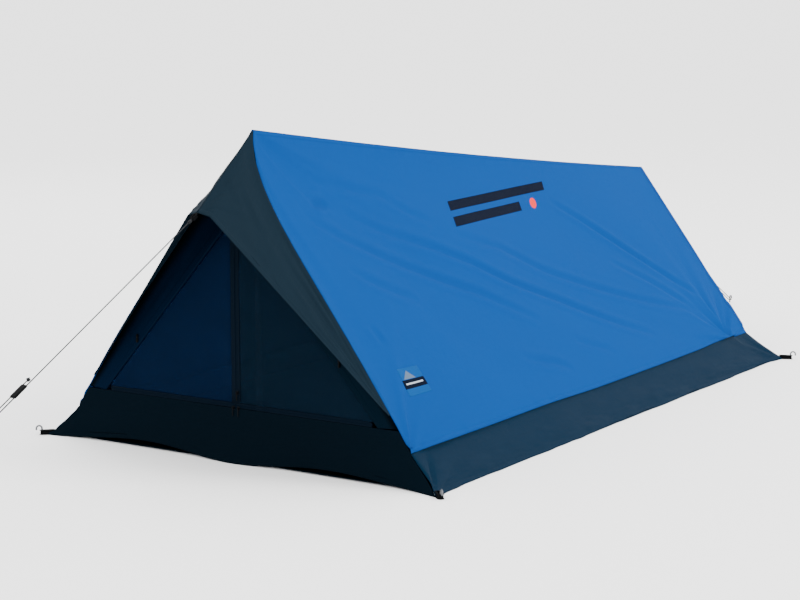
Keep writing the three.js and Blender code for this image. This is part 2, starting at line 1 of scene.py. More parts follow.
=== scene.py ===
# A two-person ridge tent, pitched on a pale floor: blue roof, slate skirt and hood, mesh door.
import math
import bpy
import numpy as np
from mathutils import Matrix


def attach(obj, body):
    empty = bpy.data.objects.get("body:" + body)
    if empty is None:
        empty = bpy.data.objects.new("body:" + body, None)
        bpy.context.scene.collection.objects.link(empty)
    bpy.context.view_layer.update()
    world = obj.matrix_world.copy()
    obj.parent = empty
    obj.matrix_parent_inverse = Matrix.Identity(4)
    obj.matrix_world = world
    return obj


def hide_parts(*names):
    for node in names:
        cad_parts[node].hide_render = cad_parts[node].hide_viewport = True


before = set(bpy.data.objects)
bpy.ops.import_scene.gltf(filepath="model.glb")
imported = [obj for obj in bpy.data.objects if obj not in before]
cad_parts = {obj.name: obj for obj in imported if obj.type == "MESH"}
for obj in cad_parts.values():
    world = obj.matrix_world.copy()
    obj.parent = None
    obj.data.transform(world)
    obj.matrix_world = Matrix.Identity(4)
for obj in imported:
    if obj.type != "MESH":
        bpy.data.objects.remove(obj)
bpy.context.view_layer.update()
print("frame loaded")

# ---- camera and light ----

view = {"place": (3.355, -5.464, 1.329), "tilt": 80.867, "turn": 32.946, "lens": 92.7}
camData = bpy.data.cameras.new("camera")
camData.lens = view["lens"]
camData.sensor_width = 36
camData.clip_end = 600
camera = bpy.data.objects.new("camera", camData)
camera.location = view["place"]
camera.rotation_euler = (math.radians(view["tilt"]), 0, math.radians(view["turn"]))
bpy.context.scene.collection.objects.link(camera)
bpy.context.scene.camera = camera

lightRig = {  # name: place, size, watts, colour
    "keyLight": ((6.2, 1.5, 5.0), 3.0, 520, (1, 0.99, 0.97)),
    "frontLight": ((-1.6, -7.0, 3.4), 4.5, 60, (0.95, 0.98, 1)),
    "backLight": ((-4.5, 3.5, 4.5), 4.0, 120, (0.96, 0.98, 1)),
}
for lightName, (place, size, watts, tint) in lightRig.items():
    lamp = bpy.data.lights.new(lightName, "AREA")
    lamp.size = size
    lamp.energy = watts
    lamp.color = tint
    lampObject = bpy.data.objects.new(lightName, lamp)
    lampObject.location = place
    aim = np.array([0, 0, 0.35]) - np.array(place)
    flat = math.hypot(aim[0], aim[1])
    lampObject.rotation_euler = (math.atan2(flat, -aim[2]), 0, math.atan2(aim[1], aim[0]) - math.pi / 2)
    bpy.context.scene.collection.objects.link(lampObject)
sky = bpy.data.worlds.new("sky")
sky.use_nodes = True
sky.node_tree.nodes["Background"].inputs["Color"].default_value = (1, 1, 1, 1)
sky.node_tree.nodes["Background"].inputs["Strength"].default_value = 3.0
bpy.context.scene.world = sky

# ---- small tools ----


def smooth(x):  # rises from 0 to 1 as x does, with a level start and end
    x = np.clip(x, 0, 1)
    return x * x * (3 - 2 * x)


def softNoise(x, y, seed, cell=1.0):
    # random heights from -1 to 1 on a lattice of this cell, joined by smooth steps
    table = np.random.default_rng(seed).uniform(-1, 1, (64, 64))
    x, y = np.broadcast_arrays(np.asarray(x, float) / cell, np.asarray(y, float) / cell)
    i, j = np.floor(x).astype(int), np.floor(y).astype(int)
    fx, fy = smooth(x - i), smooth(y - j)
    at = lambda a, b: table[a % 64, b % 64]
    low = at(i, j) * (1 - fx) + at(i + 1, j) * fx
    high = at(i, j + 1) * (1 - fx) + at(i + 1, j + 1) * fx
    return low * (1 - fy) + high * fy


def spaced(start, end, count, marks=(), fine=0.0):
    # even steps, with two more steps close on each side of every mark
    extra = [m + s * fine for m in marks for s in (-1, -0.33, 0.33, 1)]
    return np.unique(np.clip(np.r_[np.linspace(start, end, count + 1), extra], start, end))


def unit(v):
    return v / np.maximum(np.linalg.norm(v, axis=-1, keepdims=True), 1e-12)


def surfaceNormals(points):
    # the cross product of the two directions of a grid of points
    return unit(np.cross(np.gradient(points, axis=1), np.gradient(points, axis=0)))


def addMesh(name, points, faces, uv=None):
    mesh = bpy.data.meshes.new(name)
    faces = np.asarray(faces, dtype=np.int32)
    sides = faces.shape[1]
    mesh.vertices.add(len(points))
    mesh.vertices.foreach_set("co", np.asarray(points, dtype=np.float32).ravel())
    mesh.loops.add(faces.size)
    mesh.loops.foreach_set("vertex_index", faces.ravel())
    mesh.polygons.add(len(faces))
    mesh.polygons.foreach_set("loop_start", np.arange(0, faces.size, sides, dtype=np.int32))
    mesh.polygons.foreach_set("loop_total", np.full(len(faces), sides, dtype=np.int32))
    mesh.polygons.foreach_set("use_smooth", np.full(len(faces), True))
    if uv is not None:
        layer = mesh.uv_layers.new(name="cloth")
        layer.data.foreach_set("uv", np.asarray(uv, dtype=np.float32)[faces.ravel()].ravel())
    mesh.update(calc_edges=True)
    mesh.validate()
    piece = bpy.data.objects.new(name, mesh)
    bpy.context.scene.collection.objects.link(piece)
    return piece


def gridFaces(rows, columns, closeRows=False, closeColumns=False):
    # four corners for each cell of a grid of points, which may close on itself either way
    i = np.arange(rows if closeRows else rows - 1)[:, None]
    j = np.arange(columns if closeColumns else columns - 1)[None, :]
    at = lambda a, b: (a % rows) * columns + (b % columns)
    quads = np.stack([at(i, j), at(i, j + 1), at(i + 1, j + 1), at(i + 1, j)], axis=-1)
    return quads.reshape(-1, 4)


def surfaceUv(points):
    # distances in metres along the first row and down the first column's mean
    along = np.linalg.norm(np.diff(points, axis=1), axis=-1).mean(0)
    down = np.linalg.norm(np.diff(points, axis=0), axis=-1).mean(1)
    u, v = np.meshgrid(np.r_[0, np.cumsum(along)], np.r_[0, np.cumsum(down)])
    return np.stack([u, v], axis=-1).reshape(-1, 2)


def dress(piece, finish, body="tent", nodes=()):
    piece.data.materials.clear()
    piece.data.materials.append(finish)
    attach(piece, body)
    if nodes:
        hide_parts(*nodes)
    return piece


def clothPiece(name, points, thick, outward, uv=None):
    # a grid of points given a wall on the side away from outward
    if (surfaceNormals(points).reshape(-1, 3).mean(0) * np.array(outward)).sum() < 0:
        points = points[:, ::-1]
        uv = None if uv is None else uv[:, ::-1]
    rows, columns = points.shape[:2]
    flat = surfaceUv(points) if uv is None else uv.reshape(-1, 2)
    faces = gridFaces(rows, columns)[:, ::-1]
    piece = addMesh(name, points.reshape(-1, 3), faces, flat)
    wall = piece.modifiers.new("wall", "SOLIDIFY")
    wall.thickness = thick
    wall.offset = -1
    return piece


def facing(side, way):  # a direction given for the right half, on this side
    return np.array([side * way[0], way[1], way[2]])


def panel(name, surface, finish, thick, outward, node, body="tent"):
    # a stretched sheet of cloth that takes the place of one solid
    points, uv = surface
    piece = clothPiece(name, points, thick, outward, uv)
    dress(piece, finish, body, [node])
    return piece


def fan(dx, dy, seed, turns, run, fade, clear):
    # folds that spread from a corner and fade out with the distance from it
    reach = np.hypot(dx, dy)
    folds = softNoise(np.arctan2(dy, dx) * turns, reach * run, seed)
    return folds * np.exp(-reach / fade) * smooth(reach / clear)


def smoothPath(points, steps):
    # a Catmull-Rom curve through the points
    points = np.asarray(points, float)
    ends = np.vstack([2 * points[0] - points[1], points, 2 * points[-1] - points[-2]])
    t = np.linspace(0, 1, steps, endpoint=False)[:, None]
    out = []
    for a, b, c, d in zip(ends[:-3], ends[1:-2], ends[2:-1], ends[3:]):
        square = 2 * a - 5 * b + 4 * c - d
        cube = 3 * b - a - 3 * c + d
        out.append(0.5 * (2 * b + (c - a) * t + square * t**2 + cube * t**3))
    return np.vstack(out + [points[-1:]])


def pathFrames(path, up, closed=False):
    # tangents, and two directions square to them that turn as little as they can
    ahead = np.roll(path, -1, 0) - np.roll(path, 1, 0)
    if not closed:
        ahead[0], ahead[-1] = path[1] - path[0], path[-1] - path[-2]
    ahead = unit(ahead)
    side = np.zeros_like(path)
    side[0] = unit(np.cross(ahead[0], up))
    for k in range(1, len(path)):
        side[k] = unit(side[k - 1] - ahead[k] * (side[k - 1] @ ahead[k]))
    return ahead, side, np.cross(side, ahead)


def sweep(name, path, outline, up=(0, 0, 1), closed=False, scale=None, keepUp=False):
    # an outline of (across, high) points carried along a path, with its ends filled
    path = np.asarray(path, float)
    ahead, side, high = pathFrames(path, np.asarray(up, float), closed)
    if keepUp:
        side = unit(np.cross(ahead, np.asarray(up, float)))
        high = np.cross(side, ahead)
    outline = np.asarray(outline, float)
    size = np.ones(len(path)) if scale is None else np.asarray(scale)
    points = (path[:, None] + side[:, None] * (outline[None, :, :1] * size[:, None, None])
              + high[:, None] * (outline[None, :, 1:] * size[:, None, None]))
    rows, columns = points.shape[:2]
    faces = gridFaces(rows, columns, closeRows=closed, closeColumns=True)
    distance = np.r_[0, np.cumsum(np.linalg.norm(np.diff(path, axis=0), axis=1))]
    girth = np.r_[0, np.cumsum(np.linalg.norm(np.diff(outline, axis=0), axis=1))]
    uv = np.stack(np.meshgrid(girth, distance), axis=-1).reshape(-1, 2)
    flat = points.reshape(-1, 3)
    if not closed:
        count = len(flat)
        flat = np.vstack([flat, path[:1], path[-1:]])
        uv = np.vstack([uv, [[0, 0]], [[0, distance[-1]]]])
        k = np.arange(columns)
        after = (k + 1) % columns
        start = np.stack([np.full(columns, count), after, k, k], axis=1)
        last = count - columns
        end = np.stack([np.full(columns, count + 1), last + k, last + after, last + after], axis=1)
        caps = np.vstack([start, end])[:, :3]
        faces = np.vstack([faces[:, [0, 1, 2]], faces[:, [0, 2, 3]], caps])
    return addMesh(name, flat, faces, uv)


def circle(radius, sides):
    angle = np.linspace(0, 2 * math.pi, sides, endpoint=False)
    return np.stack([radius * np.cos(angle), radius * np.sin(angle)], axis=1)


def ribbonOutline(wide, thick):
    # a flat bar's section with rounded edges
    rounding = 0.35  # of the thickness
    a = wide / 2 - thick * rounding
    corner = np.linspace(-math.pi / 2, math.pi / 2, 5)
    right = np.stack([a + thick * rounding * np.cos(corner), thick / 2 * np.sin(corner)], axis=1)
    return np.vstack([right, -right])


def lathe(name, profile, place, turn, sides):
    # a profile of (radius, height) points spun about an axis, closed where it returns to its start
    profile = np.asarray(profile, float)
    angle = np.linspace(0, 2 * math.pi, sides, endpoint=False)
    x = profile[:, :1] * np.cos(angle)
    y = profile[:, :1] * np.sin(angle)
    z = np.repeat(profile[:, 1:], sides, axis=1)
    points = np.stack([x, y, z], axis=-1)
    c, s = math.cos(turn), math.sin(turn)
    spin = np.array([[1, 0, 0], [0, c, -s], [0, s, c]])
    points = points @ spin.T + np.asarray(place)
    faces = gridFaces(len(profile), sides, closeRows=True, closeColumns=True)
    uv = np.stack(np.broadcast_arrays(angle[None] * profile[:, :1].max(), profile[:, 1:]), axis=-1)
    return addMesh(name, points.reshape(-1, 3), faces, uv.reshape(-1, 2))


def joinPieces(name, parts):
    # one object from several, under one name
    for other in bpy.context.selected_objects:
        other.select_set(False)
    for part in parts:
        part.select_set(True)
    bpy.context.view_layer.objects.active = parts[0]
    bpy.ops.object.join()
    parts[0].name = name
    parts[0].data.name = name
    return parts[0]


# ---- finishes ----


class Wire:  # one output of a node, on which sums are written as they are on paper
    def __init__(self, finish, socket):
        self.finish, self.socket = finish, socket

    def __add__(self, other): return self.finish.maths("ADD", self, other)
    def __radd__(self, other): return self.finish.maths("ADD", other, self)
    def __sub__(self, other): return self.finish.maths("SUBTRACT", self, other)
    def __rsub__(self, other): return self.finish.maths("SUBTRACT", other, self)
    def __mul__(self, other): return self.finish.maths("MULTIPLY", self, other)
    def __rmul__(self, other): return self.finish.maths("MULTIPLY", other, self)
    def __gt__(self, other): return self.finish.maths("GREATER_THAN", self, other)
    def __lt__(self, other): return self.finish.maths("LESS_THAN", self, other)
    def sine(self): return self.finish.maths("SINE", self, 0)
    def size(self): return self.finish.maths("ABSOLUTE", self, 0)


class Finish:  # one material, with a Principled shader whose plain values are set on its sockets
    def __init__(self, name, **surface):
        self.material = bpy.data.materials.new(name)
        self.material.use_nodes = True
        self.tree = self.material.node_tree
        self.shader = self.tree.nodes["Principled BSDF"]
        for key, value in surface.items():
            label = {"roughness": "Roughness", "metal": "Metallic",
                     "specular": "Specular IOR Level", "colour": "Base Color"}[key]
            self.feed(label, value)

    def plug(self, socket, value):
        if isinstance(value, Wire):
            self.tree.links.new(value.socket, socket)
        elif isinstance(value, tuple) and len(value) == 3 and socket.type == "RGBA":
            socket.default_value = (*value, 1)
        else:
            socket.default_value = value

    def feed(self, label, value):
        self.plug(self.shader.inputs[label], value)

    def node(self, kind, settings=None, inputs=None, out=0):
        made = self.tree.nodes.new("ShaderNode" + kind)
        for key, value in (settings or {}).items():
            setattr(made, key, value)
        for key, value in (inputs or {}).items():
            self.plug(made.inputs[key], value)
        return Wire(self, made.outputs[out])

    def maths(self, operation, a, b):
        return self.node("Math", {"operation": operation}, {0: a, 1: b})

    def blend(self, share, a, b):
        return self.node("Mix", {"data_type": "RGBA"}, {0: share, 6: a, 7: b}, out=2)

    def noise(self, place, scale, detail=2.0, rough=0.5):
        inputs = {"Vector": place, "Scale": scale, "Detail": detail, "Roughness": rough}
        return self.node("TexNoise", None, inputs)

    def weave(self, x, y, pitch):
        # threads that cross, one each way every pitch
        turns = 2 * math.pi / pitch
        return (x * turns).sine() * (y * turns).sine()

    def uv(self):
        return self.node("UVMap", {"uv_map": "cloth"})

    def parts(self, place):
        split = self.node("SeparateXYZ", None, {0: place}).socket.node
        return [Wire(self, split.outputs[k]) for k in range(3)]

    def stretched(self, place, scale):
        return self.node("Mapping", None, {"Vector": place, "Scale": scale})

    def bump(self, height, distance, strength=1.0, under=None):
        inputs = {"Height": height, "Distance": distance, "Strength": strength}
        if under is not None:
            inputs["Normal"] = under
        return self.node("Bump", None, inputs)

    def local(self):
        return self.node("TexCoord", None, None, out=3)


def shaded(colour, share):
    return tuple(min(1, c * share) for c in colour)


def clothFinish(name, look):
    # woven cloth: a plain weave, a crinkle from packing, paler and darker lengths of yarn
    f = Finish(name, roughness=look["roughness"], specular=look.get("specular", 0.03))
    uv = f.uv()
    x, y, _ = f.parts(uv)
    weave = f.weave(x, y, look["thread"])
    yarn = f.noise(f.stretched(uv, (6, 260, 1)), 1.0, 2.0) - 0.5
    weft = f.noise(f.stretched(uv, (260, 6, 1)), 1.0, 2.0) - 0.5
    broad = f.noise(uv, 2.6, 3.0) - 0.5
    crinkle = f.noise(uv, look["crinkle"], 3.0, 0.6)
    shade = 0.5 + broad * look["mottle"] + (yarn + weft) * look["streak"] + weave * 0.06
    dark, pale = look.get("shades", (0.86, 1.14))
    f.colour = f.blend(shade, shaded(look["colour"], dark), shaded(look["colour"], pale))
    f.feed("Base Color", f.colour)
    f.feed("Roughness", look["roughness"] + broad * 0.14 + weave * 0.03)
    fine = f.bump(weave, look["thread"] * 0.12, 0.5)
    f.feed("Normal", f.bump(crinkle, look["crinkleDepth"], 0.6, fine))
    return f


roofLook = {"colour": (0.0, 0.033, 0.153), "roughness": 0.8, "thread": 0.0011, "crinkle": 34,
            "crinkleDepth": 0.0016, "mottle": 0.5, "streak": 0.5, "shades": (0.92, 1.08)}
hoodLook = {"colour": (0.0032, 0.0092, 0.0155), "roughness": 0.66, "thread": 0.0011, "crinkle": 40,
            "crinkleDepth": 0.0014, "mottle": 0.6, "streak": 0.6}
skirtLook = {**hoodLook, "colour": (0.0, 0.0085, 0.0215), "roughness": 0.64}
tubLook = {"colour": (0.0009, 0.0031, 0.0056), "roughness": 0.85, "thread": 0.0024, "crinkle": 26,
           "crinkleDepth": 0.002, "mottle": 0.8, "streak": 0.3, "specular": 0.01}
hoodCloth = clothFinish("slateCloth", hoodLook).material
skirtCloth = clothFinish("skirtCloth", skirtLook).material
tubCloth = clothFinish("tubCloth", tubLook).material

# the mark on the roof, in metres along the tent and above the ground: plain bars and one red disc
markLook = {"start": -0.227, "low": 0.5655, "long": 0.680, "tall": 0.068, "lean": 0.75,
            "ink": (0.0008, 0.0028, 0.010), "red": (0.55, 0.02, 0.025), "disc": 0.021,
            # shares of its length and height
            "bar": 0.38, "lowerLong": 0.70, "discAt": (0.84, 0.19), "discTall": 1.4}


def roofFinish():
    f = clothFinish("blueCloth", roofLook)
    _, y, z = f.parts(f.local())
    long, tall = markLook["long"], markLook["tall"]
    up = z - markLook["low"]
    along = y - markLook["start"] - up * markLook["lean"]
    upperBar = (along > 0) * (along < long) * (up > tall * (1 - markLook["bar"])) * (up < tall)
    lowerBar = (along > 0) * (along < long * markLook["lowerLong"]) * (up > 0) * (up < tall * markLook["bar"])
    dx = along - long * markLook["discAt"][0]
    dy = (up - tall * markLook["discAt"][1]) * markLook["discTall"]
    disc = (dx * dx + dy * dy) < (markLook["disc"] ** 2)
    inked = f.blend(upperBar + lowerBar, f.colour, markLook["ink"])
    f.feed("Base Color", f.blend(disc, inked, markLook["red"]))
    return f.material


def meshFinish(name, dark, pale):
    # knitted net: holes between threads, closed enough to look nearly black
    f = Finish(name, roughness=0.9, specular=0.02)
    x, y, _ = f.parts(f.uv())
    net = f.weave(x, y, 0.0022).size()
    f.feed("Base Color", f.blend(f.noise(f.uv(), 3.0, 2.0), dark, pale))
    f.feed("Alpha", 1 - (net > 0.52) * 0.62)
    f.feed("Normal", f.bump(net, 0.0002, 0.4))
    return f.material


def webbingFinish(name="webbing", dark=(0.0008, 0.001, 0.0014), pale=(0.004, 0.0044, 0.005)):
    # ribbed tape: a rib every 1.6 mm across a finer one
    f = Finish(name, roughness=0.85, specular=0.03)
    x, y, _ = f.parts(f.uv())
    rib = (y * (2 * math.pi / 0.0016)).sine() * (0.6 + (x * (2 * math.pi / 0.0012)).sine() * 0.4)
    f.feed("Base Color", f.blend(rib * 0.5 + 0.5, dark, pale))
    f.feed("Normal", f.bump(rib, 0.0003, 0.7))
    return f.material


def cordFinish(name, dark, pale, fleck):
    # braided line with a darker tracer
    f = Finish(name, roughness=0.8, specular=0.05)
    x, y, _ = f.parts(f.uv())
    braid = (y * 2200 + x * 2600).sine() * (y * 2200 - x * 2600).sine()
    tone = f.blend(braid * 0.5 + 0.5, dark, pale)
    tracer = ((y * 420 + x * 660).sine() > 0.86) * 1.0
    f.feed("Base Color", f.blend(tracer, tone, fleck))
    f.feed("Normal", f.bump(braid, 0.0003, 0.8))
    return f.material


def steelFinish(name, shade, dull):
    # dull galvanised wire or tube, clouded, with fine scratches along it
    f = Finish(name, metal=1.0)
    place = f.local()
    cloud = f.noise(place, 90, 3.0)
    scratch = f.noise(f.stretched(place, (900, 900, 40)), 1.0, 2.0)
    f.feed("Base Color", f.blend(cloud, shaded(shade, 0.82), shade))
    f.feed("Roughness", dull + cloud * 0.14 + scratch * 0.1)
    f.feed("Normal", f.bump(scratch, 0.0001, 0.3))
    return f.material


def plasticFinish(name, shade, dull):
    # moulded plastic with a fine grain, rubbed paler in places
    f = Finish(name, specular=0.04)
    grain = f.noise(f.local(), 1600, 2.0)
    rub = f.noise(f.local(), 60, 3.0)
    f.feed("Base Color", f.blend(rub, shaded(shade, 0.8), shaded(shade, 1.3)))
    f.feed("Roughness", dull + rub * 0.12)
    f.feed("Normal", f.bump(grain, 0.0001, 0.35))
    return f.material


def threadFinish(name, shade):
    # twisted sewing thread
    f = Finish(name, roughness=0.8, specular=0.05)
    ply = (f.parts(f.local())[1] * 6000).sine()
    f.feed("Base Color", f.blend(ply * 0.5 + 0.5, shaded(shade, 0.7), shade))
    return f.material


def coilFinish():
    # a nylon coil, one turn a tooth
    f = Finish("zipCoil", roughness=0.75, specular=0.02)
    _, y, _ = f.parts(f.uv())
    turn = (y * (2 * math.pi / 0.0016)).sine() * 0.5 + 0.5
    f.feed("Base Color", f.blend(turn, (0.0003, 0.0020, 0.0050), (0.0008, 0.0040, 0.0090)))
    f.feed("Normal", f.bump(turn, 0.0001, 0.4))
    return f.material


coilBlack = coilFinish()
blueCloth = roofFinish()
# one net in two tones: the right leaf's (also the vent's) darker as painted shade seen through it, the left leaf's
# bluer as painted light coming through it from the sunlit far wall
netCloth = meshFinish("netCloth", (0.0012, 0.0050, 0.0108), (0.0015, 0.0060, 0.0132))
netClothLeft = meshFinish("netClothLeft", (0.0009, 0.0049, 0.0165), (0.0011, 0.0058, 0.0200))
webbing = webbingFinish()
guyCordFinish = cordFinish("guyCord", (0.012, 0.013, 0.015), (0.032, 0.034, 0.037), (0.004, 0.005, 0.007))
pegSteel = steelFinish("zincWire", (0.12, 0.125, 0.135), 0.34)
poleSteel = steelFinish("zincTube", (0.09, 0.093, 0.098), 0.4)
blackPlastic = plasticFinish("blackPlastic", (0.001, 0.0012, 0.0016), 0.55)
enamel = plasticFinish("blackEnamel", (0.001, 0.0014, 0.0022), 0.5)
blueThread = threadFinish("blueThread", (0.0, 0.035, 0.16))
slateThread = threadFinish("slateThread", (0.003, 0.011, 0.019))
blackThread = threadFinish("blackThread", (0.0006, 0.0022, 0.004))
tapeCloth = webbingFinish("zipTape", (0.0003, 0.0022, 0.0052), (0.0008, 0.0036, 0.0084))
print("finishes made")

# ---- the tent's own lines ----

tentSize = {
    "frontY": -1.115, "rearY": 1.115, "halfWidth": 0.65, "frontHeight": 0.9, "rearHeight": 0.612,
    "apexSetback": 0.099, "rearOverhang": 0.222, "cloth": 0.004, "gap": 0.0004, "underRoof": 0.0016,
    "groundGap": 0.0005, "skirtHeight": 0.097, "skirtFlare": 0.085, "seamSetback": 0.010,
    "apexPinch": 0.333, "ridgeSag": 0.012, "roofHollow": 0.012, "hemLift": 0.012,
    "hoodReach": 0.246, "hoodDrop": 0.201, "hoodCorner": 0.190, "tipHalf": 0.035,
    "sill": 0.150, "doorHalf": 0.456, "doorTop": 0.672, "zip": 0.0066, "inset": 0.0013, "sheet": 0.0011,
}
T = tentSize
halves = (("Right", 1), ("Left", -1))
# the way each right-hand panel faces, and its nominal length and height along the cloth
roofOut = np.array([0.83, 0, 0.55])
hoodOut = np.array([0.78, -0.35, 0.5])
roofCut = {"long": 2.3, "high": 0.99}
skirtCut = {"long": 2.2, "high": 0.125}
seamX = T["halfWidth"] - T["skirtFlare"]
rearSeamY = T["rearY"] - T["skirtFlare"]
wallY = T["frontY"] + T["seamSetback"]
ridgeRearY = T["rearY"] + T["rearOverhang"]
skirtTop = T["skirtHeight"] - T["cloth"] - T["gap"]
slopeRise = T["frontHeight"] - T["skirtHeight"]


def mix(a, b, t):
    return a + (b - a) * t


def frontEdge(h):
    # from the skirt's seam at h = 0 to the apex at h = 1, drawn in below the apex
    h = np.asarray(h, float)
    return np.stack([seamX * (1 - h) - T["apexPinch"] * h**4 * (1 - h),
                     mix(wallY, T["frontY"] + T["apexSetback"], h**5),
                     mix(T["skirtHeight"], T["frontHeight"], h)], axis=-1)


def rearEdge(h):
    # a straight line from the skirt's seam to the rear end of the ridge
    h = np.asarray(h, float)
    return np.stack([seamX * (1 - h), mix(rearSeamY, ridgeRearY, h),
                     mix(T["skirtHeight"], T["rearHeight"], h)], axis=-1)


def roofPoint(u, h):
    # between the two edges, with a hollow along the panel and a sagging ridge
    point = mix(frontEdge(h), rearEdge(h), np.asarray(u, float)[..., None])
    span = 4 * u * (1 - u)
    hollow = T["roofHollow"] * span * np.sin(math.pi * h)
    point[..., 0] -= 0.83 * hollow
    point[..., 2] -= 0.55 * hollow + T["ridgeSag"] * span * h
    return point


def skirtX(z):
    # how far out the skirt is at a height
    return mix(T["halfWidth"], seamX, (z - T["groundGap"]) / (skirtTop - T["groundGap"]))


def mirroredX(points, side):
    # half the ridge's gap away from the middle plane, and to the left where side is -1
    out = np.array(points, float)
    out[..., 0] = (out[..., 0] + T["gap"] / 2) * side
    return out


# ---- guylines: first, because they decide where the model ends ----

guy = {"radius": 0.0015, "slope": 0.525, "pegHeight": 0.012, "strand": 0.012, "tail": 0.05,
       "loop": 0.024, "frontRunner": 0.706, "rearRunner": 0.33, "sides": 10}
guyDrop = math.atan(guy["slope"])
hoodTip = np.array([0, T["frontY"] + T["apexSetback"] - T["hoodReach"],
                    T["frontHeight"] - T["hoodDrop"]])
rearTurn = math.atan2(T["rearHeight"] - T["skirtHeight"], T["rearOverhang"] + T["skirtFlare"])
vent = {"bottom": 0.300, "top": 0.460, "half": 0.088, "hoodTop": 0.500, "hoodHalf": 0.105,
        "tip": 0.453, "reach": 0.073}
ventTip = np.array([0, rearSeamY + vent["tip"] * math.cos(rearTurn) + vent["reach"] * math.sin(rearTurn),
                    T["skirtHeight"] + vent["tip"] * math.sin(rearTurn) - vent["reach"] * math.cos(rearTurn)])
guyStart = {"front": hoodTip + np.array([0, -0.002, -0.004]), "rear": ventTip + np.array([0, 0.003, -0.004])}


def guyRoute(start, heading, runnerUp):
    # down to the peg, half round it, and back up beside itself
    reach, fall = guy["loop"] * math.cos(guyDrop), guy["loop"] * math.sin(guyDrop)
    top = start + np.array([0, -heading * reach, -fall])
    run = (top[2] - guy["pegHeight"]) / guy["slope"]
    pegPlace = np.array([0, top[1] - heading * run, guy["pegHeight"]])
    along = top - pegPlace
    full = np.linalg.norm(along)
    along /= full
    across = np.array([-heading, 0, 0])
    at = lambda distance, offset: pegPlace + along * distance + across * offset
    bend = guy["strand"] / 2
    down = [at(d, 0) for d in np.linspace(full - 0.0004, 0, 12)]
    turn = [at(-bend * math.sin(a), bend * (1 - math.cos(a))) for a in np.linspace(0, math.pi, 13)[1:-1]]
    back = [at(d, guy["strand"]) for d in np.linspace(0, runnerUp + guy["tail"], 9)]
    return np.array(down + turn + back), at, along, pegPlace


def stopKnot(name, middle, along, size):
    # a trefoil of the same cord, drawn tight
    t = np.linspace(0, 2 * math.pi, 49)[:-1]
    a = (np.sin(t) + 2 * np.sin(2 * t)) * size / 3
    b = (np.cos(t) - 2 * np.cos(2 * t)) * size / 3
    c = -np.sin(3 * t) * size * 0.75
    side = unit(np.cross(along, (0, 0, 1)))
    high = np.cross(side, along)
    path = np.asarray(middle) + a[:, None] * side + b[:, None] * high + c[:, None] * np.asarray(along)
    return sweep(name, path, circle(guy["radius"], 8), closed=True)


def tieKnot(name, start, away, size):
    # four tight turns of cord laid round the line
    t = np.linspace(0, 1, 97)
    side = unit(np.cross(away, (1, 0, 0)))
    high = np.cross(side, away)
    angle = 2 * math.pi * 4 * t
    path = (np.asarray(start) + np.asarray(away) * (t * size * 4)[:, None]
            + (side * np.cos(angle)[:, None] + high * np.sin(angle)[:, None]) * (guy["radius"] * 1.9))
    return sweep(name, path, circle(guy["radius"] * 0.95, 8), up=(1, 0, 0))


cordEnds = {}
for label, heading in (("front", 1), ("rear", -1)):
    path, at, along, pegPlace = guyRoute(guyStart[label], heading, guy[f"{label}Runner"])
    line = sweep(f"{label}GuyLine", path, circle(guy["radius"], guy["sides"]), up=(1, 0, 0))
    dress(line, guyCordFinish, "tent", [f"{label}_guyline"])
    end = stopKnot(f"{label}GuyEndKnot", path[-1] - along * 0.004, along, 0.0042)
    tie = tieKnot(f"{label}GuyTieKnot", path[0] - along * 0.003, -along, 0.003)
    for knot in (end, tie):
        dress(knot, guyCordFinish, "tent")
    cordEnds[label] = (at, along, pegPlace, heading)
print("guylines made")

# ---- stitching ----

stitch = {"pitch": 0.0046, "long": 0.0032, "thick": 0.0007, "proud": 0.0002}


def stitchRow(name, path, out, finish):
    # one small rounded bead every pitch along a path, lifted off the cloth along out
    path = np.asarray(path, float)
    step = np.linalg.norm(np.diff(path, axis=0), axis=1)
    total = np.r_[0, np.cumsum(step)]
    count = max(2, int(total[-1] / stitch["pitch"]))
    spot = (np.arange(count) + 0.5) * stitch["pitch"]
    at = lambda far: np.stack([np.interp(far, total, path[:, k]) for k in range(3)], axis=1)
    place = at(spot)
    lift = np.repeat(unit(np.asarray(out, float))[None], count, axis=0)
    ahead = unit(at(spot + 1e-3) - at(spot - 1e-3))
    side = unit(np.cross(lift, ahead))
    rings = np.array([(-0.5, 0.25), (-0.3, 0.95), (0, 1.1), (0.3, 0.95), (0.5, 0.25)])
    angle = np.linspace(0, 2 * math.pi, 5)[:-1] + math.pi / 4
    length = rings[:, None, 0] * stitch["long"]
    r = rings[:, None, 1] * stitch["thick"] / 2
    local = np.stack([np.broadcast_to(length, (5, 4)), r * np.cos(angle), r * np.sin(angle)], axis=-1)
    points = (place[:, None, None] + ahead[:, None, None] * local[None, ..., :1]
              + side[:, None, None] * local[None, ..., 1:2]
              + lift[:, None, None] * (local[None, ..., 2:] + stitch["proud"]))
    one = np.vstack([gridFaces(5, 4, closeColumns=True), [[3, 2, 1, 0]], [[16, 17, 18, 19]]])
    faces = (one[None] + (np.arange(count) * 20)[:, None, None]).reshape(-1, 4)
    return dress(addMesh(name, points.reshape(-1, 3), faces), finish)


# ---- roof ----

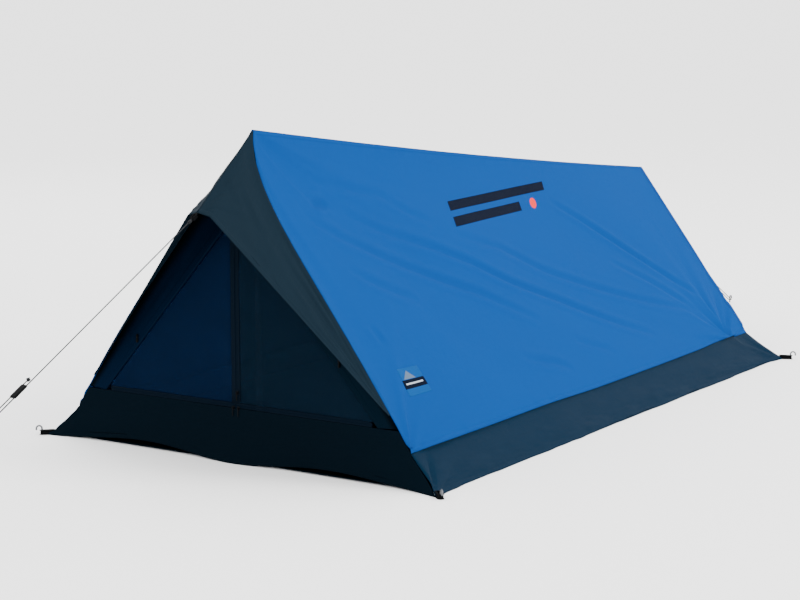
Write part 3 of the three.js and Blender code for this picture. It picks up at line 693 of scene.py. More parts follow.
# creases drawn across the panel, each from its start to its end in metres along and up it, with a depth
creases = [
    ([(0.126, 0.72), (0.241, 0.655), (0.405, 0.584), (0.578, 0.511), (0.785, 0.428), (1.023, 0.292)], 1.0),
    ([(0.325, 0.735), (0.474, 0.669), (0.664, 0.61), (0.828, 0.541), (0.986, 0.453), (1.21, 0.353),
      (1.486, 0.208), (1.662, 0.124)], 1.15),
    ([(0.808, 0.652), (1.046, 0.59), (1.233, 0.483), (1.449, 0.392), (1.708, 0.285), (2.058, 0.161)], 0.85),
    ([(1.512, 0.794), (1.644, 0.703), (1.765, 0.594), (1.9, 0.455), (2.041, 0.312), (2.128, 0.231)], 1.1),
    ([(0.515, 0.802), (0.65, 0.73), (0.736, 0.703)], 0.5),
    ([(0.198, 0.547), (0.299, 0.493), (0.451, 0.431)], 0.7),
    ([(1.676, 0.489), (1.849, 0.356), (2.058, 0.161)], 0.7),
    ([(0.811, 0.171), (0.983, 0.121), (1.049, 0.088)], 0.7),
    ([(1.15, 0.188), (1.348, 0.108)], 0.5),
    ([(0.224, 0.843), (0.4, 0.816), (0.635, 0.787)], 0.5),
    ([(0.18, 0.759), (0.262, 0.768)], 1.3),
    ([(0.141, 0.375), (0.155, 0.309)], 0.5),
]
creaseShape = {"depth": 0.0055, "half": 0.0135}


def creaseLift(along, up, lines, shift=0.0):
    # a furrow with a bank on each side, deepest along the middle of each line
    total = np.zeros_like(along)
    half = creaseShape["half"]
    for line, share in lines:
        line = np.asarray(line, float)
        line = line + np.array([shift, -shift * 0.4])
        nearest = np.full(along.shape, 9.0)
        walk = np.zeros(along.shape)
        steps = np.linalg.norm(np.diff(line, axis=0), axis=1)
        done = 0.0
        for a, b, long in zip(line[:-1], line[1:], steps):
            t = np.clip(((along - a[0]) * (b[0] - a[0]) + (up - a[1]) * (b[1] - a[1])) / long**2, 0, 1)
            away = np.hypot(along - a[0] - t * (b[0] - a[0]), up - a[1] - t * (b[1] - a[1]))
            closer = away < nearest
            nearest = np.where(closer, away, nearest)
            walk = np.where(closer, (done + t * long) / steps.sum(), walk)
            done += long
        fade = np.sin(math.pi * np.clip(walk, 0, 1)) ** 0.5
        bank = 0.55 * np.exp(-((nearest / half - 1.9) ** 2))
        total += creaseShape["depth"] * share * fade * (bank - np.exp(-((nearest / half) ** 2)))
    return total


roofFolds = {"broad": 0.0092, "pull": 0.0112, "pucker": 0.0018, "across": 300, "up": 120}


def seamWave(along, side):
    # the skirt's seam rises and falls a little between its pegged corners
    pinned = smooth(along / 0.12) * smooth((skirtCut["long"] - along) / 0.03)
    return (softNoise(along, along * 0, 301 if side > 0 else 302, 0.38) * 0.006
            + 0.004 * np.exp(-(((along - 2.02) / 0.1) ** 2))) * pinned


def roofSurface(side, u, h):
    # the taut panel with folds drawn between its pegged and poled corners, and puckers at its seams
    uu, hh = np.meshgrid(u, h)
    points = roofPoint(uu, hh)
    along = uu * roofCut["long"]
    up = hh * roofCut["high"]
    seed = 11 if side > 0 else 23
    free = np.sin(math.pi * hh) ** 0.7 * np.sin(math.pi * uu) ** 0.5
    lift = softNoise(along + up * 0.8, up - along * 0.35, seed, 0.42) * roofFolds["broad"] * free
    # long soft folds falling from the front apex towards the rear hem
    folds = fan(along + 0.02, 1.0 - up, seed + 1, 9, 0.6, 0.9, 0.12)
    lift += folds * roofFolds["pull"] * np.sin(math.pi * np.clip(hh, 0, 1)) ** 0.4
    lift += creaseLift(along, up, creases, 0.0 if side > 0 else 0.05)
    # folds drawn up from the two low corners
    for cx, turnSeed, strength in ((0.0, seed + 2, 1.0), (2.14, seed + 3, 0.8)):
        folds = fan(np.abs(along - cx) + 0.02, up + 0.02, turnSeed, 8, 1, 0.33, 0.06)
        lift += folds * roofFolds["pull"] * strength
    # small puckers where the thread gathers the cloth
    highUp, farAlong = roofCut["high"] - up, roofCut["long"] - along
    for distance, run, seedUp, wave in (
        (up, along, 31, 0.035), (highUp, along, 32, 0.04), (along, up, 33, 0.04), (farAlong, up, 34, 0.04),
    ):
        ripple = softNoise(run, distance * 0.3, seed + seedUp, wave)
        lift += ripple * roofFolds["pucker"] * np.exp(-distance / 0.028) * smooth(distance / 0.004)
    points = points + roofOut * lift[..., None]
    # the flat-felled seams: one step down to a single layer, 11 mm from each edge
    edge = np.minimum.reduce([up, highUp, along * 0.9, farAlong * 0.9])
    points = points + roofOut * (T["sheet"] * (1 - smooth((edge - 0.0115) / 0.0022)))[..., None]
    points[..., 2] += seamWave(along, side) * np.exp(-((up / 0.11) ** 2))
    uv = np.stack([along, up], axis=-1)
    return mirroredX(points, side), uv


uSteps = spaced(0, 1, roofFolds["across"], (0.0061, 0.9941), 0.0007)
hSteps = spaced(0, 1, roofFolds["up"], (0.0125, 0.9875), 0.0014)
for label, side in halves:
    normal = facing(side, roofOut)
    panel(f"roofCloth{label}", roofSurface(side, uSteps, hSteps), blueCloth, T["sheet"], normal,
          f"roof_{label.lower()}")
    # two rows of stitches along each edge of the panel
    us = np.linspace(0.004, 0.996, 200)
    for rowName, hs in (("ridgeLow", 0.9885), ("ridgeHigh", 0.9955), ("skirtLow", 0.0035), ("skirtHigh", 0.0105)):
        surface, _ = roofSurface(side, us, np.array([hs, min(1, hs + 0.001)]))
        stitchRow(f"{rowName}Stitch{label}", surface[0], normal, blueThread)
    for rowName, uu in (("frontEdge", 0.0016), ("frontInner", 0.0048), ("rearEdge", 0.9984), ("rearInner", 0.9952)):
        surface, _ = roofSurface(side, np.array([uu, uu + 1e-4]), np.linspace(0.01, 0.985, 160))
        stitchRow(f"{rowName}Stitch{label}", surface[:, 0], normal, blueThread)
print("roof made")

# ---- skirt ----

cornerPull = {"front": (0.010, -0.022), "rear": (0.014, 0.006), "reach": 0.06}


def pulledCorners(points):
    # cloth near each corner of the hem is drawn out towards its peg
    out = np.array(points, float)
    for end, y in (("front", T["frontY"]), ("rear", T["rearY"])):
        for side in (1, -1):
            away = np.sqrt((out[..., 0] - side * T["halfWidth"]) ** 2 + (out[..., 1] - y) ** 2
                           + (2.5 * out[..., 2]) ** 2)
            share = np.exp(-((away / cornerPull["reach"]) ** 1.3))
            out[..., 0] += side * cornerPull[end][0] * share
            out[..., 1] += cornerPull[end][1] * share
    return out


skirtShape = {"ripple": 0.0085, "hem": 0.012, "corner": 0.014, "across": 260}


def skirtSurface(side, u, w):
    # flares out and down from its seam, with ripples that grow towards the free hem
    uu, ww = np.meshgrid(u, w)
    z = mix(T["skirtHeight"] - 0.0012, T["groundGap"], ww)
    y = mix(mix(wallY, T["frontY"], ww), mix(rearSeamY, T["rearY"], ww), uu)
    points = np.stack([skirtX(z), y, z], axis=-1)
    seed = 51 if side > 0 else 67
    along = uu * skirtCut["long"]
    pinned = smooth(uu / 0.03) * smooth((1 - uu) / 0.03)
    wave = softNoise(along, ww * 0.4, seed, 0.11) * 0.7 + softNoise(along, ww, seed + 1, 0.045) * 0.3
    out = wave * skirtShape["ripple"] * ww**1.4 * pinned
    for cx, foldSeed, more in ((0.0, seed + 3, 1.0), (skirtCut["long"], seed + 5, 0.7)):
        folds = fan(np.abs(along - cx) + 0.01, (1 - ww) * 0.12 + 0.01, foldSeed, 6, 2, 0.16, 0.05)
        out += folds * skirtShape["corner"] * more * np.sin(math.pi * np.clip(ww, 0.04, 0.96))
    out += softNoise(along, ww, seed + 5, 0.03) * 0.0008 * np.exp(-ww * 5)
    hem = smooth((ww - (1 - skirtShape["hem"] / skirtCut["high"])) / 0.02)
    points[..., 0] += out * 0.75 + 0.0008 * hem
    points[..., 2] += out * 0.5 * (1 - ww) + 0.0002 * hem
    points[..., 2] += seamWave(uu * roofCut["long"], side) * (1 - ww) ** 1.5
    points[..., 2] = np.maximum(points[..., 2], T["groundGap"])
    return pulledCorners(mirroredX(points, side)), np.stack([along, ww * skirtCut["high"]], axis=-1)


for label, side in halves:
    rows = spaced(0, 1, 26, (1 - skirtShape["hem"] / skirtCut["high"],), 0.01)
    us = np.linspace(0, 1, skirtShape["across"] + 1)
    points, uv = skirtSurface(side, us, rows)
    # two more rows at the top, tucked under the roof
    tuck, _ = roofSurface(side, us, np.array([0.010, 0.0]))
    tuck = tuck - facing(side, roofOut) * 0.0016
    points = np.concatenate([tuck, points])
    uv = np.concatenate([uv[:1] - [0, 0.011], uv[:1] - [0, 0.001], uv])
    panel(f"skirtCloth{label}", (points, uv), skirtCloth, T["sheet"], (side, 0, 0.6),
          f"skirt_{label.lower()}")
    normal = np.array([side * 0.78, 0, 0.62])
    for rowName, ww in (("skirtSeam", 0.02), ("skirtSeamTwo", 0.07), ("skirtHem", 1 - 0.0098 / skirtCut["high"])):
        surface, _ = skirtSurface(side, np.linspace(0.003, 0.997, 220), np.array([ww, min(1, ww + 0.002)]))
        stitchRow(f"{rowName}Stitch{label}", surface[0] + normal * 0.0004, normal, slateThread)
print("skirt made")

# ---- hood ----

hoodShape = {"fold": 0.0045, "hem": 0.016, "tipShare": 0.93, "runOut": 0.008}
hoodCornerH = (T["hoodCorner"] - T["skirtHeight"]) / slopeRise


def hoodFreeEdge(t):
    # a straight pull from the low corner to the tip, with the short flat end at the tip
    corner = frontEdge(hoodCornerH) + np.array([0, -hoodShape["runOut"], -0.002])
    shoulder = hoodTip + np.array([T["tipHalf"], 0.007, -0.009])
    t = np.asarray(t, float)[..., None]
    low = mix(corner, shoulder, np.clip(t / hoodShape["tipShare"], 0, 1))
    past = (t - hoodShape["tipShare"]) / (1 - hoodShape["tipShare"])
    high = mix(shoulder, hoodTip, np.clip(past, 0, 1))
    return np.where(t <= hoodShape["tipShare"], low, high)


def hoodSurface(side, t, w):
    # from the roof's front edge out to the free edge, with a hem and a doubled seam
    tt, ww = np.meshgrid(t, w, indexing="ij")
    seam = frontEdge(mix(hoodCornerH, 1, tt)) + np.array([0, -T["gap"], 0])
    points = mix(seam, hoodFreeEdge(tt), ww[..., None])
    seed = 81 if side > 0 else 97
    wide = np.linalg.norm(seam - hoodFreeEdge(tt), axis=-1)
    up = tt * 0.95
    out = softNoise(up * 1.2 + ww * 0.25, ww * 1.4, seed, 0.17) * hoodShape["fold"] * smooth(wide / 0.1)
    # folds that run from the tip and from the apex
    out += fan((1 - ww) * 0.3 + 0.01, (1 - tt) * 0.95 + 0.01, seed + 1, 9, 1, 0.3, 0.06) * hoodShape["fold"]
    out *= np.clip(np.sin(math.pi * ww), 0, 1) ** 0.6 * smooth((1 - tt) / 0.05)
    out += softNoise(up, ww * 0.3, seed + 2, 0.035) * 0.0009 * np.exp(-ww * wide / 0.02)
    hemShare = np.clip(hoodShape["hem"] / np.maximum(wide, 0.02), 0, 0.6)
    out += T["sheet"] * smooth((ww - (1 - hemShare)) / np.maximum(0.003 / np.maximum(wide, 0.02), 0.01))
    out += T["sheet"] * (1 - smooth((ww * wide - 0.011) / 0.0025))
    points = points + hoodOut * out[..., None]
    return mirroredX(points, side), np.stack([ww * wide, up], axis=-1)


for label, side in halves:
    panel(f"hoodCloth{label}", hoodSurface(side, spaced(0, 1, 150), spaced(0, 1, 44, (0.9, 0.94), 0.01)),
          hoodCloth, T["sheet"], (side * 0.78, -0.2, 0.5), f"hood_{label.lower()}")
    # two rows of stitches beside the hem, measured from the free edge, and two from the seam
    normal = facing(side, hoodOut)
    hemSteps, seamSteps = np.linspace(0.02, 0.985, 180), np.linspace(0.03, 0.98, 160)
    for rowName, ts, fromEdge, distance in (
        ("hoodHem", hemSteps, True, 0.0035), ("hoodHemInner", hemSteps, True, 0.0135),
        ("hoodSeam", seamSteps, False, 0.003), ("hoodSeamTwo", seamSteps, False, 0.0095),
    ):
        wide = np.linalg.norm(frontEdge(mix(hoodCornerH, 1, ts)) - hoodFreeEdge(ts), axis=-1)
        share = distance / np.maximum(wide, 0.02)
        rows = [hoodSurface(side, np.array([t]), np.array([w]))[0][0, 0]
                for t, w in zip(ts, 1 - share if fromEdge else share)]
        stitchRow(f"{rowName}Stitch{label}", np.array(rows) + normal * 0.0003, normal, slateThread)
print("hood made")

# ---- front wall ----


def halfWidthUnder(z):
    # half the room between the skirts or the roof panels at a height
    z = np.asarray(z, float)
    above = frontEdge((z + T["inset"] - T["skirtHeight"]) / slopeRise)[..., 0]
    return np.where(z <= skirtTop, skirtX(z) - T["inset"], above)


sillShape = {"thick": 0.0013, "ripple": 0.0035, "hem": 0.012}


def sillSurface(v, w):
    # its hem lifts between the middle and the corners, and its middle stands a little forward
    vv, ww = np.meshgrid(v, w)
    across = 2 * vv - 1
    lift = (T["hemLift"] + 0.007 - 0.002 * across) * np.sin(math.pi * np.abs(across)) ** 2
    low, high = mix(T["groundGap"] + lift, skirtTop, ww), mix(skirtTop, T["sill"], ww - 1)
    z = np.where(ww <= 1, low, high)
    x = across * halfWidthUnder(z)
    y = T["frontY"] + np.minimum(1, z / T["skirtHeight"]) * T["seamSetback"]
    seed = 113
    held = smooth((1 - np.abs(across)) / 0.05) * smooth((T["sill"] - z) / 0.03)
    out = softNoise(x, z, seed, 0.16) * 0.6 + softNoise(x, z * 0.5, seed + 1, 0.07) * 0.4
    out = out * sillShape["ripple"] * (0.4 + np.exp(-z / 0.08)) * held
    for cx in (-0.64, 0.64):
        out += fan(np.abs(x - cx) + 0.01, z + 0.01, seed + 3, 7, 1, 0.16, 0.06) * 0.004
    out += 0.001 * (1 - smooth((z - sillShape["hem"] - lift) / 0.002))
    middle = 0.016 * np.exp(-((across / 0.22) ** 2)) * np.exp(-z / 0.06)
    points = np.stack([x, y - np.abs(out) * 0.3 - out * 0.7 - middle, z], axis=-1)
    return pulledCorners(points), np.stack([x, z], axis=-1)


panel("frontSillCloth", sillSurface(np.linspace(0, 1, 261), spaced(0, 2, 44, (0.1, 0.2), 0.02)), tubCloth,
      sillShape["thick"], (0, -1, 0), "front_sill")
for rowName, ww in (("sillHem", 0.09), ("sillTop", 1.9)):
    surface, _ = sillSurface(np.linspace(0.02, 0.98, 200), np.array([ww, ww + 0.002]))
    stitchRow(f"{rowName}Stitch", surface[0] + (0, -0.0004, 0), (0, -1, 0.05), blackThread)

doorBottom = T["sill"] + T["gap"] + T["zip"]
doorSlope = T["doorHalf"] / (T["doorTop"] - doorBottom)
borderBottom = T["sill"] + 2 * T["gap"]
borderH = (borderBottom + T["cloth"] + T["underRoof"] - T["skirtHeight"]) / slopeRise


def doorEdge(z):
    # how far out the door's sloping edge is at a height
    return (T["doorTop"] - np.asarray(z, float)) * doorSlope


def borderSurface(side, h, w):
    # between the door's sloping edge and the roof's
    hh, ww = np.meshgrid(h, w, indexing="ij")
    z = mix(borderBottom, T["doorTop"], (hh - borderH) / (1 - borderH))
    inner = np.stack([doorEdge(z), np.full_like(z, wallY), z], axis=-1)
    outer = frontEdge(hh) + np.array([0, 0, -0.0014])
    points = mix(inner, outer, ww[..., None])
    out = softNoise(hh * 0.9, ww * 0.3, 131, 0.06) * 0.002 * np.sin(math.pi * ww)
    out += 0.001 * (1 - smooth((ww - 0.2) / 0.05))
    points[..., 1] -= out
    return mirroredX(points, side), np.stack([ww * 0.1, hh * 0.95], axis=-1)


borderEdge = (0.0003, 0.0013, 0.0022)


def borderFinish(name, paintedTone):
    # black cloth, coloured like the net beside it except along the roof: the net's painted light on the left and
    # painted shade on the right
    f = Finish(name, roughness=0.9, specular=0.01)
    x, y, _ = f.parts(f.uv())
    weave = f.weave(x, y, 0.0011)
    middle = f.blend(f.noise(f.uv(), 3.0, 2.0) + weave * 0.05, shaded(paintedTone, 0.8), paintedTone)
    f.feed("Base Color", f.blend((x - 0.062) * 40, middle, borderEdge))
    f.feed("Normal", f.bump(weave, 0.0001, 0.4))
    return f.material


# the left border's bluer tone is painted light and the right border's darker tone is painted shade, as on the nets
borderCloths = {
    1: borderFinish("borderRight", (0.0010, 0.0044, 0.0088)),
    -1: borderFinish("borderLeft", (0.0007, 0.0042, 0.0130)),
}
for label, side in halves:
    panel(f"doorBorder{label}", borderSurface(side, spaced(borderH, 1, 120), spaced(0, 1, 14, (0.2, 0.25), 0.01)),
          borderCloths[side], T["sheet"], (0, -1, 0), f"door_border_{label.lower()}")
    surface, _ = borderSurface(side, np.linspace(borderH + 0.01, 0.985, 160), np.array([0.12, 0.125]))
    stitchRow(f"borderStitch{label}", surface[:, 0] + (0, -0.0004, 0), (0, -1, 0), blackThread)

# the two mesh leaves: each a triangle of net with a tape down the middle and along the bottom
leaf = {"tape": 0.0136, "hinge": 0.002, "clear": 0.007, "tapeThick": 0.0008, "netThick": 0.0004}
coil = {"pitch": 0.0016, "wide": 0.0026, "high": 0.0011, "y": wallY - 0.0004}
tapeBottom = doorBottom + T["gap"]
tapeTop = tapeBottom + T["zip"]
meshBottom = tapeTop + T["gap"]
meshStart = T["gap"] + leaf["tape"] + T["gap"]


def leafTop(x):
    # the height of the hinge line at a distance from the middle
    return T["doorTop"] - (np.asarray(x, float) + leaf["hinge"]) / doorSlope


def netSurface(side):
    # a triangle between the centre tape, the lower tape and the hinge
    vv, ww = np.meshgrid(np.linspace(0, 1, 90), np.linspace(0, 1, 90))
    farX = doorEdge(meshBottom) - leaf["hinge"]
    x = mix(meshStart, farX - 0.0006, vv)
    z = mix(meshBottom, np.maximum(leafTop(x), meshBottom + 0.0005), ww)
    free = np.sin(math.pi * vv) * np.sin(math.pi * ww)
    y = wallY + 0.0005 + 0.0004 * softNoise(x, z, 151 + side, 0.09) * free
    return np.stack([x * side, y, z], axis=-1), np.stack([x, z], axis=-1)


def stripSurface(corners, rows, columns):
    # a flat quadrilateral in X and Z, in the plane of the wall
    a, b, c, d = (np.array(p, float) for p in corners)
    vv, ww = np.meshgrid(np.linspace(0, 1, columns), np.linspace(0, 1, rows))
    flat = mix(mix(a, b, vv[..., None]), mix(d, c, vv[..., None]), ww[..., None])
    return np.stack([flat[..., 0], np.full_like(vv, wallY), flat[..., 1]], axis=-1)


def zipCoil(name, start, end, body="tent"):
    # a half-round coil whose height swells and falls once for every tooth
    start, end = (np.array([x, coil["y"], z], float) for x, z in (start, end))
    out = np.array([0, -1.0, 0])
    long = np.linalg.norm(end - start)
    steps = int(long / coil["pitch"]) * 4
    s = np.linspace(0, long, steps + 1)
    angle = np.linspace(0, 2 * math.pi, 11)[:-1]
    swell = 0.78 + 0.22 * np.abs(np.cos(math.pi * s / coil["pitch"]))
    ahead = (end - start) / long
    across = np.cross(out, ahead)
    points = (start + ahead * s[:, None, None] + across * (np.cos(angle) * coil["wide"] / 2)[None, :, None]
              + out * (np.sin(angle)[None, :, None] * coil["high"] * swell[:, None, None]))
    faces = gridFaces(len(s), 10, closeColumns=True)
    uv = np.stack(np.meshgrid(angle * coil["wide"] / 2, s), axis=-1).reshape(-1, 2)
    caps = [[9, 8, 7, 6], [6, 5, 4, 3], [3, 2, 1, 0], [9, 6, 3, 0]]
    last = len(s) * 10 - 10
    capsEnd = [[last + k for k in reversed(face)] for face in caps]
    faces = np.vstack([faces, caps, capsEnd])
    return dress(addMesh(name, points.reshape(-1, 3), faces, uv), coilBlack, body)


for label, side in halves:
    body = f"door_leaf_{label.lower()}"
    # the net's tone is painted light on the left leaf and painted shade on the right
    net = panel(f"doorNet{label}", netSurface(side), netCloth if side > 0 else netClothLeft, leaf["netThick"],
                (0, -1, 0), f"door_mesh_{label.lower()}", body)
    g, t = T["gap"], leaf["tape"]
    clear = leaf["clear"]  # tapes end this short of the hinge, to pass the border as the leaf swings
    centre = [(side * g, meshBottom), (side * (g + t), meshBottom),
              (side * (g + t), leafTop(g + t) - clear), (side * g, leafTop(g) - clear)]
    endLow, endHigh = (doorEdge(z) - leaf["hinge"] - clear for z in (tapeBottom, tapeTop))
    lower = [(side * g, tapeBottom), (side * endLow, tapeBottom), (side * endHigh, tapeTop), (side * g, tapeTop)]
    for part, corners, node, size in (
        ("Centre", centre, f"zip_tape_centre_{label.lower()}", (t, leafTop(g) - meshBottom - clear)),
        ("Lower", lower, f"zip_tape_lower_{label.lower()}", (0.45, T["zip"])),
    ):
        strip = clothPiece(f"zipTape{part}{label}", stripSurface(corners, 12, 12), leaf["tapeThick"], (0, -1, 0))
        dress(strip, tapeCloth, body, [node])
        min(size) >= 0.01
    x, z = side * (g + 0.0014), tapeBottom + coil["wide"] / 2
    zipCoil(f"centreCoil{label}", (x, meshBottom), (x, leafTop(g) - 0.004 - clear), body)
    zipCoil(f"lowerCoil{label}", (side * 0.003, z), (side * (doorEdge(tapeBottom) - 0.005 - clear), z), body)
end, low = 0.444, T["sill"] + g
high = low + T["zip"]
sillTape = clothPiece("zipTapeSill", stripSurface([(-end, low), (end, low), (end, high), (-end, high)], 4, 60),
                      leaf["tapeThick"], (0, -1, 0))
dress(sillTape, tapeCloth, "tent", ["zip_tape_sill"])
zipCoil("sillCoil", (0.002 - end, high - coil["wide"] / 2), (end - 0.002, high - coil["wide"] / 2))
for n in ("centre", "left", "right"):
    for part in ("slider", "pull"):
        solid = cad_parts[f"zip_{part}_{n}"].data
        solid.materials.clear()
        solid.materials.append(enamel)
print("front wall made")

# ---- rear wall, vent and floor ----

rearLong = math.hypot(T["rearHeight"] - T["skirtHeight"], T["rearOverhang"] + T["skirtFlare"])
edgeClearance = 0.0014 * seamX / (T["rearHeight"] - T["skirtHeight"])


def onRear(x, s, out):
    # a place on the rear wall: across, up the slope, and out of it
    x, s, out = np.broadcast_arrays(np.asarray(x, float), np.asarray(s, float), np.asarray(out, float))
    c, k = math.cos(rearTurn), math.sin(rearTurn)
    return np.stack([x, rearSeamY + s * c + out * k, T["skirtHeight"] + s * k - out * c], axis=-1)


def rearHalf(s):
    # half the rear wall's width at a distance up its slope
    return seamX * (1 - np.asarray(s, float) / rearLong) - edgeClearance


def ventHalf(s):
    # half the vent's width there, or nothing above and below it
    paintedTone = (s >= vent["bottom"]) & (s <= vent["top"])
    return np.where(paintedTone, vent["half"] * (vent["top"] - s) / (vent["top"] - vent["bottom"]), 0)


rearPeak = rearLong * (1 - (edgeClearance + 0.002) / seamX)
rearNormal = (0, math.sin(rearTurn), -math.cos(rearTurn))


def rearPanel(side, s0, s1, rows):
    # the wall from the vent's edge, or the middle, out to the roof
    s = np.linspace(s0, s1, rows)
    vv, ss = np.meshgrid(np.linspace(0, 1, 60), s)
    x = mix(ventHalf(ss), rearHalf(ss), vv)
    free = np.sin(math.pi * np.clip(vv, 0, 1)) * smooth((ss - s0) / 0.03) * smooth((s1 - ss) / 0.03)
    out = softNoise(x, ss, 171 + side, 0.14) * 0.003 * free
    return onRear(x * side, ss, out), np.stack([x * side, ss], axis=-1)


parts = []
for side in (1, -1):
    for s0, s1, rows in (
        (0.002, vent["bottom"], 50), (vent["bottom"] + 1e-4, vent["top"], 30), (vent["top"], rearPeak, 14),
    ):
        points, uv = rearPanel(side, s0, s1, rows)
        parts.append(clothPiece("part", points, T["sheet"], rearNormal, uv))
rearWall = joinPieces("rearWallCloth", parts)
dress(rearWall, hoodCloth, "tent", ["rear_wall"])
wide, high, share = 1.11, 0.59, 0.48
wide * high * share

vv, ww = np.meshgrid(np.linspace(-1, 1, 50), np.linspace(0, 1, 50))
ss = mix(vent["bottom"] + 0.0006, vent["top"] - 0.0006, ww)
panel("ventNet", (onRear(vv * np.maximum(ventHalf(ss), 0.0003), ss, -0.0004), None), netCloth, leaf["netThick"],
      rearNormal, "vent_mesh")


def ventHoodSurface(v, w):
    # from its seam on the wall out to its free edge, highest and widest in the middle
    vv, ww = np.meshgrid(v, w)
    across = 2 * vv - 1
    drop = np.abs(across)
    seam = onRear(vent["hoodHalf"] * across, mix(vent["hoodTop"], vent["bottom"], drop), 0.001)
    edge = onRear(vent["hoodHalf"] * across, mix(vent["tip"], vent["bottom"] - 0.008, drop),
                  mix(vent["reach"], 0.009, drop))
    points = mix(seam, edge, ww[..., None])
    out = softNoise(vv * 0.3, ww * 0.2, 191, 0.06) * 0.0016 * np.sin(math.pi * ww)
    out = out + 0.001 * smooth((ww - 0.84) / 0.05)
    points[..., 1] += out * 0.6
    points[..., 2] += out * 0.8
    return points, np.stack([vv * 0.44, ww * 0.09], axis=-1)


panel("ventHoodCloth", ventHoodSurface(np.linspace(0, 1, 91), spaced(0, 1, 24, (0.84,), 0.01)), hoodCloth,
      T["sheet"], (0, 0.5, 0.8), "vent_hood")
surface, _ = ventHoodSurface(np.linspace(0.02, 0.98, 100), np.array([0.92, 0.925]))
stitchRow("ventHoodStitch", surface[0] + (0, 0.0003, 0.0005), (0, 0.5, 0.8), slateThread)


def rearSillSurface(v, w):
    # leans in from the ground to the foot of the rear wall
    vv, ww = np.meshgrid(v, w)
    z = mix(T["groundGap"], T["skirtHeight"] - 0.0005, ww)
    x = (2 * vv - 1) * (skirtX(z) - T["inset"])
    out = softNoise(x, z, 201, 0.12) * 0.003 * smooth((1 - np.abs(2 * vv - 1)) / 0.05) * (1 - ww)
    y = mix(T["rearY"], rearSeamY, z / T["skirtHeight"]) + out
    return np.stack([x, y, z], axis=-1), np.stack([x, z * 1.3], axis=-1)


sillColumns = 181
points, uv = rearSillSurface(np.linspace(0, 1, sillColumns), np.linspace(0, 1, 20))
# its top edge is turned up behind the wall
tuckUp = 0.008
tuckX = np.linspace(-1, 1, sillColumns)[None] * float(rearHalf(tuckUp))
points = np.concatenate([points, onRear(tuckX, np.full((1, sillColumns), tuckUp), -0.0016)])
uv = np.concatenate([uv, uv[-1:] + [0, 0.009]])
panel("rearSkirtCloth", (points, uv), skirtCloth, T["sheet"], (0, 0.7, 0.6), "rear_sill")

vv, ww = np.meshgrid(np.linspace(-1, 1, 110), np.linspace(-1, 1, 170))
x, y = vv * (T["halfWidth"] - 0.0025), ww * (T["rearY"] - 0.0025)
inner = smooth(np.minimum(1 - np.abs(vv), 1 - np.abs(ww)) / 0.04)
z = 0.0014 + (0.0005 + 0.0005 * softNoise(x, y, 211, 0.18)) * inner + 0.003 * (1 - inner) ** 2
floorSheet = clothPiece("groundsheetCloth", np.stack([x, y, z], axis=-1), 0.0009, (0, 0, 1),
                        np.stack([x, y], axis=-1))
dress(floorSheet, tubCloth, "tent", ["groundsheet"])
print("rear and floor made")

# ---- poles, pegs, loops and the small parts ----

pole = {"radius": 0.008, "wall": 0.0006, "fit": 0.0004, "spigot": 0.040, "cap": 0.0016, "capHigh": 0.018,
        "capFloor": 0.003, "socket": 0.012, "point": 0.027, "crimp": 0.0005, "groove": 0.030, "sides": 40}
axisHole = 0.0002  # how near the axis a solid end's profile comes


def tubeProfile(long, spigot):
    # a plain tube with a rolled groove near each end, and a narrower spigot where it has one
    r, bore, dent = pole["radius"], pole["radius"] - pole["wall"], pole["crimp"]
    neck = bore - pole["fit"]
    outside = [(bore, 0), (r - 0.0003, 0), (r, 0.0006)]
    for centre in (pole["groove"], long - pole["groove"]):
        outside += [(r, centre - 0.002), (r - dent * 0.7, centre - 0.001), (r - dent, centre),
                    (r - dent * 0.7, centre + 0.001), (r, centre + 0.002)]
    outside += [(r, long - 0.0006), (r - 0.0003, long)]
    if not spigot:
        return outside + [(bore, long)]
    end = long + pole["spigot"]
    return outside + [(neck, long), (neck, end - 0.003), (neck - 0.0005, end), (neck - pole["wall"], end),
                      (neck - pole["wall"], long - 0.002), (bore, long - 0.004)]


def footProfile():
    # a cap with three grooves round it and a floor under the tube
    inner = pole["radius"] + pole["fit"]
    outer, high = inner + pole["cap"], pole["capHigh"]
    rings = [(outer, 0.0015)]
    for z in (0.005, 0.009, 0.013):
        rings += [(outer, z - 0.0009), (outer - 0.0005, z), (outer, z + 0.0009)]
    return ([(axisHole, 0), (outer - 0.0015, 0), (outer - 0.0004, 0.0004)] + rings
            + [(outer, high - 0.0005), (outer - 0.0004, high), (inner, high), (inner, pole["capFloor"]),
               (axisHole, pole["capFloor"])])


def tipProfile():
    # a socket for the tube under a blunt cone
    inner = pole["radius"] + pole["fit"]
    outer, socket, point = inner + pole["cap"], pole["socket"], pole["point"]
    cone = [(mix(outer, 0.002, t), mix(socket, point - 0.0006, t)) for t in (0.05, 0.35, 0.65, 1)]
    return ([(inner, 0), (outer - 0.0004, 0), (outer, 0.0005), (outer, socket - 0.0006)] + cone
            + [(0.0013, point), (axisHole, point), (axisHole, socket), (inner, socket)])


# each section and cap stands where its solid does, on the solid's own axis
for n, o in list(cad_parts.items()):
    if "_pole_" not in n:
        continue
    tilt = 0.0 if n.startswith("front") else rearTurn - math.pi / 2
    axis = np.array([0, -math.sin(tilt), math.cos(tilt)])
    local = np.array([o.matrix_world @ v.co for v in o.data.vertices])
    heights = local @ axis
    low = local[heights < heights.min() + 0.0001].mean(0)
    base = low - axis * (low @ axis - heights.min())
    long = heights.max() - heights.min()
    part = n.split("_")[-1]
    if part == "foot":
        profile = footProfile()
    elif part == "tip":
        profile = tipProfile()
    else:
        spigot = part == "middle" or part == "lower"
        profile = tubeProfile(long - (pole["spigot"] if spigot else 0), spigot)
    title = "pole" + "".join(w.title() for w in n.replace("_pole", "").split("_"))
    finish, slot = (blackPlastic, "black_plastic") if part in ("foot", "tip") else (poleSteel, "pole_steel")
    dress(lathe(title, profile, base, tilt, pole["sides"]), finish, "tent", [n])

